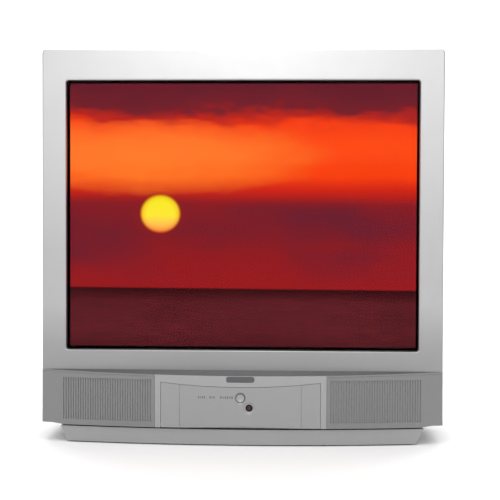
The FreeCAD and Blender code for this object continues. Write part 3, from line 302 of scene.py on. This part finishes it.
def winding(name, direction):
    """Enamelled copper wire laid turn beside turn, with painted shade in the grooves between turns."""
    paint = Paint(name, 0.3, 0.75, 0.5)
    turns = paint.waves(380.0, direction, 1.2)
    # Painted shade: the colour darkens towards the grooves between turns, along the same bands as the relief.
    paint.colour(paint.ramp(
        turns, (0.1, (0.16, 0.045, 0.014)), (0.55, (0.62, 0.24, 0.09)), (1.0, (0.86, 0.42, 0.2))))
    paint.rough(paint.noise(70.0), 0.22, 0.42)
    paint.bump(turns, 0.0003, 0.9)
    return paint.material


def circuit_board(name, tone):
    """Phenolic board with a solder mask that shows the copper tracks beneath."""
    paint = Paint(name, 0.42, 0.0, 0.45)
    tracks = paint.cells(95.0, "DISTANCE_TO_EDGE", "Distance", (1.0, 1.6, 1.6))
    copper = paint.step(tracks, 0.09, 0.012)
    weave = paint.ramp(paint.noise(500.0, 3.0), (0.3, shade(tone, 0.86)), (0.7, shade(tone, 1.1)))
    paint.colour(paint.mix(copper, weave, shade(tone, 0.6)))
    paint.bump(copper, 0.00005, 0.6)
    paint.bump(paint.noise(800.0), 0.00003, 0.4)
    return paint.material


def ferrite(name):
    """Sintered ferrite, dull and slightly chipped."""
    paint = Paint(name, 0.62, 0.1, 0.4)
    chips = paint.cells(160.0)
    paint.colour(paint.ramp(paint.noise(120.0, 6.0), (0.3, 0.028), (0.7, 0.07)))
    paint.bump(paint.noise(340.0, 6.0, 0.7), 0.00025, 0.6)
    paint.bump(paint.ramp(chips, (0.0, 0.0), (0.12, 1.0)), 0.0001, 0.3)
    return paint.material


def rubber(name, tone):
    paint = Paint(name, 0.75, 0.0, 0.3)
    paint.colour(paint.ramp(paint.noise(70.0, 5.0), (0.3, shade(tone, 0.8)), (0.7, shade(tone, 1.3))))
    paint.rough(paint.noise(200.0), 0.62, 0.88)
    paint.bump(paint.noise(1500.0, 3.0), 0.0001, 0.5)
    return paint.material


def panel_glass():
    """The thick tinted front of the tube, with a low-gloss anti-glare face."""
    paint = Paint("panel_glass", 0.02, 0.0, 0.06)
    paint.shader.inputs["Transmission Weight"].default_value = 1.0
    paint.shader.inputs["IOR"].default_value = 1.12
    paint.colour(paint.ramp(paint.noise(2.0), (0.3, (0.955, 0.965, 0.965)), (0.7, (0.975, 0.98, 0.98))))
    paint.rough(paint.noise(40.0), 0.0, 0.03)
    return paint.material


def clear_glass():
    paint = Paint("clear_glass", 0.05, 0.0, 0.5)
    paint.shader.inputs["Transmission Weight"].default_value = 0.9
    paint.colour(paint.ramp(paint.noise(20.0), (0.3, (0.78, 0.84, 0.82)), (0.7, (0.9, 0.94, 0.92))))
    paint.rough(paint.noise(60.0), 0.02, 0.08)
    return paint.material


def graphite_glass():
    """The funnel: glass under a brushed graphite coat."""
    paint = Paint("graphite_glass", 0.55, 0.2, 0.5)
    brushed = paint.noise(60.0, 6.0, 0.7, (1.0, 6.0, 1.0))
    paint.colour(paint.ramp(brushed, (0.25, 0.022), (0.6, 0.05), (0.85, 0.085)))
    paint.rough(paint.noise(24.0, 5.0), 0.42, 0.7)
    paint.bump(brushed, 0.0002, 0.5)
    return paint.material


def picture():
    """A lit picture of a plain sunset: banded sky, low sun, dark sea. Drawn from formulas only."""
    paint = Paint("lit_picture", 0.4, 0.0, 0.05)
    low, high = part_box("phosphor_screen")
    across, _, up = paint.axes()
    level = paint.math("ADD", up, paint.math("MULTIPLY", across, 0.006))
    rise = paint.math("DIVIDE", paint.math("SUBTRACT", level, low.z), high.z - low.z)

    def around(source, reach):
        return paint.math("MULTIPLY", paint.math("SUBTRACT", source, 0.5), reach)

    cloud = paint.noise(5.0, 6.0, 0.62, (1.6, 1.0, 3.6))
    wisp = paint.noise(14.0, 5.0, 0.6, (1.0, 1.0, 5.0))
    patch = paint.noise(4.2, 3.0, 0.5, (1.0, 1.0, 2.2))
    towards_top = paint.ramp(rise, (0.60, 0.06), (0.80, 0.5), (0.92, 1.0))
    drift = paint.math("MULTIPLY", paint.math("ADD", around(cloud, 0.26), around(wisp, 0.08)), towards_top)
    sky = paint.ramp(
        paint.math("ADD", rise, drift),
        (0.0, (0.22, 0.008, 0.010)), (0.215, (0.30, 0.010, 0.012)), (0.33, (0.27, 0.010, 0.013)),
        (0.44, (0.21, 0.010, 0.016)), (0.545, (0.26, 0.010, 0.013)), (0.60, (0.60, 0.016, 0.006)),
        (0.65, (0.88, 0.045, 0.003)), (0.76, (0.95, 0.064, 0.003)), (0.835, (0.88, 0.045, 0.003)),
        (0.875, (0.50, 0.014, 0.007)), (0.915, (0.16, 0.009, 0.018)), (1.0, (0.115, 0.008, 0.019)),
    )
    dusk = paint.math("MULTIPLY", paint.ramp(patch, (0.42, 0.0), (0.66, 0.85)),
                      paint.ramp(rise, (0.22, 0.0), (0.34, 1.0), (0.52, 1.0), (0.575, 0.0)))
    sky = paint.mix(dusk, sky, (0.125, 0.012, 0.026))
    glow_x = paint.math("MULTIPLY", paint.math("SUBTRACT", across, -0.150), 3.3)
    glow_z = paint.math("MULTIPLY", paint.math("SUBTRACT", rise, 0.720), 6.6)
    spread = paint.math("ADD", paint.math("MULTIPLY", glow_x, glow_x), paint.math("MULTIPLY", glow_z, glow_z))
    uneven = paint.math("ADD", spread, paint.math("ADD", around(cloud, 0.9), around(wisp, 0.5)))
    glow = paint.ramp(uneven, (0.0, 0.85), (0.2, 0.72), (0.6, 0.34), (1.0, 0.0))
    sky = paint.mix(glow, sky, (0.98, 0.205, 0.022))
    ripple = paint.noise(26.0, 6.0, 0.75, (0.9, 1.0, 9.0))
    swell = paint.noise(5.0, 3.0, 0.5, (1.0, 1.0, 3.0))
    sea = paint.ramp(
        ripple, (0.30, (0.075, 0.011, 0.017)), (0.5, (0.115, 0.013, 0.018)), (0.72, (0.165, 0.017, 0.020)))
    sea = paint.mix(1.0, sea, paint.ramp(swell, (0.3, 0.75), (0.7, 1.0)), "MULTIPLY")
    shallow = paint.ramp(rise, (0.0, 0.72), (0.06, 1.0), (0.17, 0.9), (0.198, 0.5), (0.216, 0.32))
    sea = paint.mix(1.0, sea, shallow, "MULTIPLY")
    view = paint.mix(paint.step(rise, 0.221, 0.003), sea, sky)
    sun_x = paint.math("MULTIPLY", paint.math("SUBTRACT", across, SUN_X), 0.95)
    sun_z = paint.math("SUBTRACT", up, SUN_Z)
    away = paint.math("SQRT", paint.math("ADD", paint.math("MULTIPLY", sun_x, sun_x),
                                         paint.math("MULTIPLY", sun_z, sun_z)))
    halo = paint.math("SUBTRACT", 1.0, paint.step(away, SUN_RADIUS * 1.08, 0.005))
    view = paint.mix(paint.math("MULTIPLY", halo, 0.7), view, (0.30, 0.012, 0.004))
    disc = paint.math("SUBTRACT", 1.0, paint.step(away, SUN_RADIUS, 0.0022))
    fall = paint.math("ADD", paint.math("MULTIPLY", sun_z, 0.5 / SUN_RADIUS), 0.5)
    face = paint.ramp(
        fall, (0.0, (0.95, 0.30, 0.05)), (0.22, (0.96, 0.52, 0.075)), (0.45, (0.95, 0.76, 0.035)),
        (1.0, (0.88, 0.78, 0.012)))
    edge = paint.ramp(
        paint.math("DIVIDE", away, SUN_RADIUS), (0.72, (1.0, 1.0, 1.0)), (1.0, (0.95, 0.62, 0.5)))
    view = paint.mix(disc, view, paint.mix(1.0, face, edge, "MULTIPLY"))
    paint.feed(paint.shader.inputs["Emission Color"], view)
    paint.shader.inputs["Emission Strength"].default_value = 1.08
    paint.colour((0.008, 0.008, 0.008))
    return paint.material


# ---- sizes read from the frame ----

PANEL_TOP = 115 * MM
BEZEL_Y = -213 * MM
CROWN_Y = cad_box[0].y
BOW = BEZEL_Y - CROWN_Y
HALF = cad_box[1].x
BOW_RADIUS = (HALF ** 2 + BOW ** 2) / (2 * BOW)
GRILLE_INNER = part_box("right_grille")[0].x
LABEL_X, LABEL_Z = 60 * MM, 222 * MM
LABEL_HALF_WIDTH, LABEL_HALF_HEIGHT, LABEL_BORDER, LABEL_EDGE = 42 * MM, 24 * MM, 2.5 * MM, 0.2 * MM
FRONT_JACK_XS, FRONT_JACK_Z = (-98, -78, -58), 54
REAR_JACK_XS, REAR_JACK_ZS = (-96, -74, -52), (68, 90, 112)
CASE_SCREWS = ((-296, 596), (296, 596), (-296, 56), (296, 56), (-100, 609), (100, 609))
SUN_X, SUN_Z, SUN_RADIUS = -131 * MM, 362 * MM, 29.2 * MM


def bow_y(x):
    """Where the lower panel's bowed face is at one place across it."""
    return CROWN_Y + BOW_RADIUS - math.sqrt(BOW_RADIUS ** 2 - x ** 2)


# ---- mesh helpers ----

def new_object(name, mesh_builder, material, body, smooth=True):
    """A mesh object made by a function that fills a bmesh, riding on a body."""
    mesh = bpy.data.meshes.new(name)
    shape = bmesh.new()
    mesh_builder(shape)
    bmesh.ops.recalc_face_normals(shape, faces=shape.faces)
    shape.to_mesh(mesh)
    shape.free()
    for face in mesh.polygons:
        face.use_smooth = smooth
    mesh.materials.append(material)
    piece = bpy.data.objects.new(name, mesh)
    bpy.context.scene.collection.objects.link(piece)
    if smooth:
        mesh.set_sharp_from_angle(angle=math.radians(35))
    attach(piece, body)
    return piece


def ring_of(shape, centre, axis, profile, steps=40):
    """Turns a profile of (along, radius) pairs round an axis into a closed skin."""
    axis = Vector(axis).normalized()
    side = axis.orthogonal().normalized()
    other = axis.cross(side)
    rows = []
    for along, radius in profile:
        row = []
        for step in range(steps):
            angle = 2 * math.pi * step / steps
            spoke = side * math.cos(angle) + other * math.sin(angle)
            row.append(shape.verts.new(Vector(centre) + axis * along + spoke * radius))
        rows.append(row)
    for near, far in zip(rows, rows[1:]):
        for step in range(steps):
            shape.faces.new((near[step], near[(step + 1) % steps], far[(step + 1) % steps], far[step]))
    return rows


def close_ends(shape, rows):
    shape.faces.new(rows[0])
    shape.faces.new(rows[-1])


def join_ends(shape, rows):
    """Joins a turned skin's last ring to its first, for a hollow ring."""
    first, last = rows[0], rows[-1]
    count = len(first)
    for step in range(count):
        shape.faces.new((last[step], last[(step + 1) % count], first[(step + 1) % count], first[step]))


def slab(shape, outline, normal, thick):
    """A flat plate from a closed outline of points, raised along a direction."""
    lower = [shape.verts.new(point) for point in outline]
    upper = [shape.verts.new(Vector(point) + Vector(normal) * thick) for point in outline]
    shape.faces.new(lower)
    shape.faces.new(upper)
    count = len(outline)
    for step in range(count):
        shape.faces.new((lower[step], lower[(step + 1) % count], upper[(step + 1) % count], upper[step]))


def block(shape, low, high):
    """A block between two corners, with its edges broken by a small bevel."""
    made = bmesh.ops.create_cube(shape, size=1.0)
    centre = [(a + b) / 2 for a, b in zip(low, high)]
    size = [b - a for a, b in zip(low, high)]
    for vert in made["verts"]:
        vert.co = Vector(centre[i] + vert.co[i] * size[i] for i in range(3))
    edges = list({edge for vert in made["verts"] for edge in vert.link_edges})
    bmesh.ops.bevel(shape, geom=edges, offset=min(size) * 0.12, segments=2, affect="EDGES")


def rounded_outline(centre_x, centre_z, width, height, radius, depth, steps=6):
    """A rounded rectangle on the bowed face, as points; depth is how far it stands proud."""
    points = []
    corners = ((1, -1, -90), (1, 1, 0), (-1, 1, 90), (-1, -1, 180))
    for sx, sz, start in corners:
        cx = centre_x + sx * (width / 2 - radius)
        cz = centre_z + sz * (height / 2 - radius)
        for step in range(steps + 1):
            angle = math.radians(start + 90 * step / steps)
            x = cx + radius * math.cos(angle)
            points.append((x, bow_y(x) - depth, cz + radius * math.sin(angle)))
    return points


# ---- materials on the CAD pieces ----

def dress():
    """Gives every CAD piece its material."""
    silver_dark = lacquer("door_lacquer", (0.31, 0.31, 0.315), 0.3, 0.38).material
    grille_paint = lacquer("grille_lacquer", (0.212, 0.212, 0.216), 0.25, 0.42).material
    plinth_paint = lacquer("plinth_lacquer", (0.325, 0.325, 0.33), 0.3, 0.4).material
    button_paint = lacquer("button_lacquer", (0.34, 0.34, 0.345), 0.4, 0.3).material
    black = grained("black_moulding", (0.022, 0.022, 0.024))
    black_gloss = glossy("black_gloss", (0.012, 0.012, 0.013))
    charcoal = cover_paint()
    cream = glossy("cream_moulding", (0.62, 0.60, 0.54), 0.35)
    white = glossy("ring_moulding", (0.72, 0.72, 0.70), 0.3)
    zinc = plated("zinc_steel", (0.62, 0.62, 0.60), 0.34, spangle=90.0)
    bright_steel = plated("bright_steel", (0.66, 0.66, 0.67), 0.22, (1.0, 5.0, 1.0))
    nickel = plated("nickel_plate", (0.78, 0.74, 0.62), 0.16)
    board = circuit_board("phenolic_board", (0.30, 0.17, 0.06))
    coats = {
        "front_cabinet": case_paint(), "left_grille": grille_paint, "right_grille": grille_paint,
        "front_door": silver_dark, "control_panel": black, "power_button": button_paint,
        "key_board": board, "key_switches": black_gloss,
        "remote_sensor": glossy("sensor_lens", (0.016, 0.003, 0.004), 0.12), "front_av_jacks": nickel,
        "badge_plate": plated("badge_metal", (0.13, 0.13, 0.135), 0.34, (1.0, 1.0, 20.0)),
        "base_plinth": plinth_paint, "rubber_feet": rubber("foot_rubber", (0.02, 0.02, 0.02)),
        "crt_faceplate": panel_glass(), "phosphor_screen": picture(),
        "black_border": grained("black_matrix", (0.003, 0.003, 0.003), 0.9, 900.0, 0.00002, 0.1),
        "shadow_mask": plated("mask_steel", (0.16, 0.16, 0.17), 0.5), "crt_funnel": graphite_glass(),
        "crt_neck": clear_glass(), "electron_gun": bright_steel, "rim_band": zinc, "tube_screws": zinc,
        "degauss_coil": grained("vinyl_tape", (0.02, 0.02, 0.022), 0.4, 300.0, 0.0003),
        "yoke_former": cream, "horizontal_coils": winding("line_winding", "Y"),
        "vertical_coils": winding("frame_winding", "X"), "yoke_core": ferrite("core_ferrite"),
        "ring_holder": cream, "crt_socket": black, "neck_board": board,
        "anode_cap": rubber("cap_rubber", (0.09, 0.012, 0.01)), "chassis_tray": black, "main_board": board,
        "flyback_transformer": grained("potted_block", (0.035, 0.035, 0.04), 0.45, 500.0, 0.0001),
        "supply_transformer": ferrite("transformer_core"),
        "capacitors": glossy("can_sleeve", (0.012, 0.02, 0.07), 0.28),
        "heat_sinks": plated("sink_aluminium", (0.72, 0.72, 0.73), 0.36, (1.0, 1.0, 8.0)), "tuner": zinc,
        "rear_panel": black, "rear_av_jacks": nickel, "antenna_socket": nickel, "cord_gland": black,
        "back_cover": charcoal, "case_screws": zinc,
        "left_speaker_basket": zinc, "right_speaker_basket": zinc,
        "left_speaker_cone": rubber("paper_cone", (0.03, 0.03, 0.03)),
        "right_speaker_cone": rubber("paper_cone_right", (0.03, 0.03, 0.03)),
        "speaker_magnets": ferrite("magnet_ferrite"),
    }
    for name in nodes:
        if name.endswith("_button") and name not in coats:
            coats[name] = button_paint
        if "_ring_" in name:
            coats[name] = white
    for name, piece in nodes.items():
        piece.data.materials.clear()
        piece.data.materials.append(coats[name])
        for face in piece.data.polygons:
            face.material_index = 0
    return {"black": black, "black_gloss": black_gloss, "nickel": nickel, "zinc": zinc, "board": board}


# ---- pieces that only the eye needs ----

def door_print():
    """Plain printed dashes beside the power button, and none that reads as words."""
    ink = Paint("print_ink", 0.6, 0.0, 0.3)
    ink.colour(ink.ramp(ink.noise(400.0), (0.3, (0.10, 0.10, 0.105)), (0.7, (0.13, 0.13, 0.135)))).bump(
        ink.noise(2000.0), 0.00001, 0.3)
    marks = ((-60.5, 76.5, 12, 4.2), (-44, 76.5, 9.5, 4.2), (-21.5, 76.5, 21, 4.4))
    for index, (x, z, width, height) in enumerate(marks):
        count = max(2, round(width / 3.4))
        pitch = width / count

        def build(shape):
            for step in range(count):
                middle = x - width / 2 + pitch * (step + 0.5)
                tall = height * (0.55 if step % 3 == 1 else 0.85)
                outline = rounded_outline(
                    middle * MM, z * MM, pitch * 0.52 * MM, tall * MM, 0.35 * MM, 0.0, 2)
                slab(shape, outline, (0, -1, 0), 0.00003)
        new_object(f"door_mark_{index + 1}", build, ink.material, "front_door_body", False)


def phono_inserts(tones):
    """The coloured rings of the phono sockets: yellow, white and red."""
    for index, x in enumerate(FRONT_JACK_XS):
        centre = (x * MM, -0.228 - 0.0006, FRONT_JACK_Z * MM)
        insert_ring(f"front_insert_{index + 1}", centre, (0, -1, 0), tones[index])
    floor = 0.233
    for column, x in enumerate(REAR_JACK_XS):
        for row, z in enumerate(REAR_JACK_ZS):
            centre = (x * MM, floor + 0.0011, z * MM)
            insert_ring(f"rear_insert_{column + 1}_{row + 1}", centre, (0, 1, 0), tones[(row + 2) % 3])


def insert_ring(name, centre, axis, material):
    def build(shape):
        rows = ring_of(shape, centre, axis, [
            (0.0, 4.3 * MM), (2.6 * MM, 4.3 * MM), (2.9 * MM, 4.55 * MM), (2.9 * MM, 5.2 * MM),
            (2.5 * MM, 5.5 * MM), (0.0, 5.5 * MM)], 36)
        join_ends(shape, rows)
    new_object(name, build, material, "cabinet")


def antenna_thread(material):
    """The ridges of the coaxial socket's thread."""
    low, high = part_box("antenna_socket")
    centre_x, centre_z = (low.x + high.x) / 2, (low.z + high.z) / 2

    def build(shape):
        for step in range(11):
            start = high.y - 9.6 * MM + step * 0.8 * MM
            rows = ring_of(shape, (centre_x, start, centre_z), (0, 1, 0), [
                (0.0, 4.70 * MM), (0.3 * MM, 5.0 * MM), (0.6 * MM, 4.70 * MM)], 32)
            join_ends(shape, rows)
    new_object("antenna_thread", build, material, "cabinet")


def crossed_screw(shape, centre, axis, radius, height):
    """A domed head with a round recess sunk in its top."""
    rows = ring_of(shape, centre, axis, [
        (0.0, radius), (height * 0.45, radius * 0.99), (height * 0.75, radius * 0.86),
        (height * 0.93, radius * 0.62), (height, radius * 0.4), (height * 0.55, radius * 0.3),
        (height * 0.35, radius * 0.12)], 28)
    close_ends(shape, rows)


def screw_heads(material):
    """Domed heads over the flat ones of the case screws and the tube's screws."""
    low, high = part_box("case_screws")
    seat = high.y - 3 * MM

    def build_case(shape):
        for x, z in CASE_SCREWS:
            crossed_screw(shape, (x * MM, seat - 0.2 * MM, z * MM), (0, 1, 0), 4.3 * MM, 4.0 * MM)
    new_object("case_screw_heads", build_case, material, "cabinet")
    low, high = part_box("tube_screws")
    middle_x, middle_z = (low.x + high.x) / 2, (low.z + high.z) / 2

    def build_tube(shape):
        for sx in (-1, 1):
            for sz in (-1, 1):
                spot = (middle_x + sx * 0.297, high.y - 4.2 * MM, middle_z + sz * 0.2305)
                crossed_screw(shape, spot, (0, 1, 0), 6.3 * MM, 5.4 * MM)
    new_object("tube_screw_heads", build_tube, material, "cabinet")


def board_parts(materials):
    """Small parts on the main board: resistors, film capacitors, chips and jumpers."""
    low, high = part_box("main_board")
    top = high.z
    body_tones = [glossy("part_tan", (0.42, 0.28, 0.15)), glossy("part_blue", (0.05, 0.12, 0.28)),
                  glossy("part_green", (0.06, 0.16, 0.09)), materials["black_gloss"]]
    keep_out = [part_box(name) for name in ("flyback_transformer", "supply_transformer", "tuner")]
    keep_out += [(Vector((-0.17, -0.06, 0)), Vector((-0.10, 0.095, 1))),
                 (Vector((0.05, -0.055, 0)), Vector((0.09, 0.015, 1)))]

    def free(x, y, reach):
        return all(x + reach < a.x or x - reach > b.x or y + reach < a.y or y - reach > b.y
                   for a, b in keep_out)

    cans = ((-122, 22, 15), (-90, 20, 9), (-60, 30, 8), (-30, 10, 6), (0, 40, 6), (30, 20, 8), (60, 40, 6),
            (20, 90, 5), (-20, 120, 6), (50, 140, 8))
    taken = [(x * MM, y * MM, radius * MM) for x, y, radius in cans]
    spots = []
    while len(spots) < 230:
        x, y = random.uniform(low.x + 0.008, high.x - 0.008), random.uniform(low.y + 0.008, high.y - 0.008)
        clear = all(math.hypot(x - a, y - b) > r + 0.008 for a, b, r in taken)
        if clear and free(x, y, 0.009):
            spots.append((x, y))
            taken.append((x, y, 0.0015))
    for tone, material in enumerate(body_tones):
        def build(shape, tone=tone):
            for index, (x, y) in enumerate(spots):
                if index % 4 != tone:
                    continue
                along = (index // 4) % 2
                length, width, height = ((6, 2.4, 2.6), (8, 3.4, 9), (5, 3, 6), (9, 6, 3.2))[tone]
                half_x, half_y = (length, width) if along else (width, length)
                block(shape, (x - half_x / 2 * MM, y - half_y / 2 * MM, top + 0.0003),
                      (x + half_x / 2 * MM, y + half_y / 2 * MM, top + height * MM))
        new_object(f"board_parts_{tone + 1}", build, material, "cabinet", False)


def grille_cloth(material):
    """Woven cloth just behind each grille's slots, bent to the same bow."""
    for side, name in ((-1, "left_cloth"), (1, "right_cloth")):
        def build(shape, side=side):
            columns = []
            for step in range(25):
                x = side * (139 + step * 146 / 24) * MM
                y = bow_y(x) + 3.15 * MM
                columns.append([shape.verts.new((x, y + back, z * MM)) for back, z in
                                ((0.0, 34.5), (0.0, 105.0), (0.00012, 105.0), (0.00012, 34.5))])
            for near, far in zip(columns, columns[1:]):
                for step in range(4):
                    shape.faces.new((near[step], near[(step + 1) % 4], far[(step + 1) % 4], far[step]))
            shape.faces.new(columns[0])
            shape.faces.new(columns[-1])
        new_object(name, build, material, "cabinet")


def control_marks(ink):
    """Small pointers over the buttons behind the door, and rings round the sockets."""
    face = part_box("control_panel")[0].y

    def build(shape):
        for index, x in enumerate((42, 57, 72, 87, 102)):
            tip = 1 if index % 2 == 0 else -1
            for step in range(3 if index == 0 else 1):
                z = (64.5 + step * 1.5) * MM
                if index == 0:
                    points = [(x - 2, z), (x + 2, z), (x + 2, z + 0.7 * MM), (x - 2, z + 0.7 * MM)]
                else:
                    z = 65.5 * MM
                    points = [(x - 1.8, z - tip * 1.2 * MM), (x + 1.8, z - tip * 1.2 * MM),
                          (x, z + tip * 1.4 * MM)]
                slab(shape, [(px * MM, face, pz) for px, pz in points], (0, -1, 0), 0.0001)
        for x in (-98, -78, -58, -34):
            rows = ring_of(shape, (x * MM, face, 0.054), (0, -1, 0), [
                (0.0, 7.2 * MM), (0.1 * MM, 7.2 * MM), (0.1 * MM, 7.8 * MM), (0.0, 7.8 * MM)], 40)
            join_ends(shape, rows)
    new_object("control_marks", build, ink, "cabinet", False)


# ---- the room, the light and the camera ----

def studio():
    """A white sweep under and behind the set, with soft light from above the camera."""
    scene = bpy.context.scene
    scene.view_settings.view_transform = "Standard"
    world = bpy.data.worlds.new("studio")
    world.use_nodes = True
    world.node_tree.nodes["Background"].inputs["Color"].default_value = (1.0, 1.0, 1.0, 1.0)
    world.node_tree.nodes["Background"].inputs["Strength"].default_value = 0.80
    scene.world = world
    white = Paint("studio_white", 0.9, 0.0, 0.1)
    _, depth, _ = white.axes()
    far = white.add("ShaderNodeMapRange", interpolation_type="SMOOTHSTEP")
    white.link(depth, far.inputs["Value"])
    far.inputs["From Min"].default_value = -0.72
    far.inputs["From Max"].default_value = -1.25
    mottle = white.ramp(white.noise(0.6), (0.3, 0.93), (0.7, 0.95))
    white.colour(white.mix(far.outputs["Result"], mottle, (0.74, 0.74, 0.745)))
    front, foot, reach, top = -9.0, 3.2, 1.6, 7.0
    turns = [math.radians(degrees) for degrees in range(6, 91, 6)]
    curve = [(foot + reach * math.sin(turn), reach - reach * math.cos(turn)) for turn in turns]
    backdrop("sweep", [(front, 0.0), (foot, 0.0), *curve, (foot + reach, top)], white.material)
    add_light("key", (-0.12, -3.4, 1.70), (0.0, -0.2, 0.45), 0.6, 1.2, 11)
    add_light("fill", (0.0, -3.2, 0.95), (0.0, 0.0, 0.36), 2.6, 0.8, 7)
    add_light("near", (-0.05, -1.35, 1.95), (0.0, -0.2, 0.5), 0.9, 0.5, 9)
    add_light("top", (0.0, -0.2, 2.5), (0.0, 0.0, 0.3), 2.4, 1.6, 12)
    add_light("back_wash", (0.0, 2.4, 3.4), (0.0, 3.8, 0.8), 5.0, 1.5, 230)


def backdrop(name, profile, material):
    """A wide sheet that follows a profile of (y, z) points. It belongs to the stage."""
    mesh = bpy.data.meshes.new(name)
    shape = bmesh.new()
    rows = [[shape.verts.new((x, y, z)) for y, z in profile] for x in (-8.0, 8.0)]
    for step in range(len(profile) - 1):
        shape.faces.new((rows[0][step], rows[1][step], rows[1][step + 1], rows[0][step + 1]))
    shape.to_mesh(mesh)
    shape.free()
    mesh.materials.append(material)
    for face in mesh.polygons:
        face.use_smooth = True
    sheet = bpy.data.objects.new(name, mesh)
    bpy.context.scene.collection.objects.link(sheet)


def add_light(name, spot, target, width, height, power):
    light = bpy.data.lights.new(name, "AREA")
    light.shape = "RECTANGLE"
    light.size = width
    light.size_y = height
    light.energy = power
    lamp = bpy.data.objects.new(name, light)
    lamp.location = spot
    lamp.rotation_euler = (Vector(target) - Vector(spot)).to_track_quat("-Z", "Y").to_euler()
    bpy.context.scene.collection.objects.link(lamp)


def camera():
    """A long lens two metres away, a little to the right and a little above the middle."""
    distance, turn, rise, roll = 2.0, math.radians(2.3), math.radians(1.72), math.radians(0.2)
    target = Vector((13 * MM, BEZEL_Y, 305.3 * MM))
    back = Vector((math.sin(turn) * math.cos(rise), -math.cos(turn) * math.cos(rise), math.sin(rise)))
    view = bpy.data.cameras.new("camera")
    view.sensor_width = 36
    view.lens = 91.4
    eye = bpy.data.objects.new("camera", view)
    eye.location = target + back * distance
    aim = (-back).to_track_quat("-Z", "Y").to_matrix().to_4x4()
    eye.matrix_world = Matrix.Translation(eye.location) @ aim @ Matrix.Rotation(roll, 4, "Z")
    bpy.context.scene.collection.objects.link(eye)
    bpy.context.scene.camera = eye


materials = dress()
door_print()
tones = [glossy("phono_yellow", (0.72, 0.48, 0.02)), glossy("phono_white", (0.75, 0.75, 0.73)),
         glossy("phono_red", (0.55, 0.015, 0.015))]
phono_inserts(tones)
antenna_thread(materials["nickel"])
screw_heads(materials["zinc"])
board_parts(materials)
control_marks(glossy("mark_white", (0.6, 0.6, 0.6), 0.5))
cloth = Paint("speaker_cloth", 0.9, 0.0, 0.2)
weave = cloth.math("MULTIPLY", cloth.waves(260.0, "X"), cloth.waves(260.0, "Z"))
cloth.colour(cloth.ramp(weave, (0.1, 0.38), (0.9, 0.58))).bump(weave, 0.0002, 0.8)
grille_cloth(cloth.material)
studio()
camera()
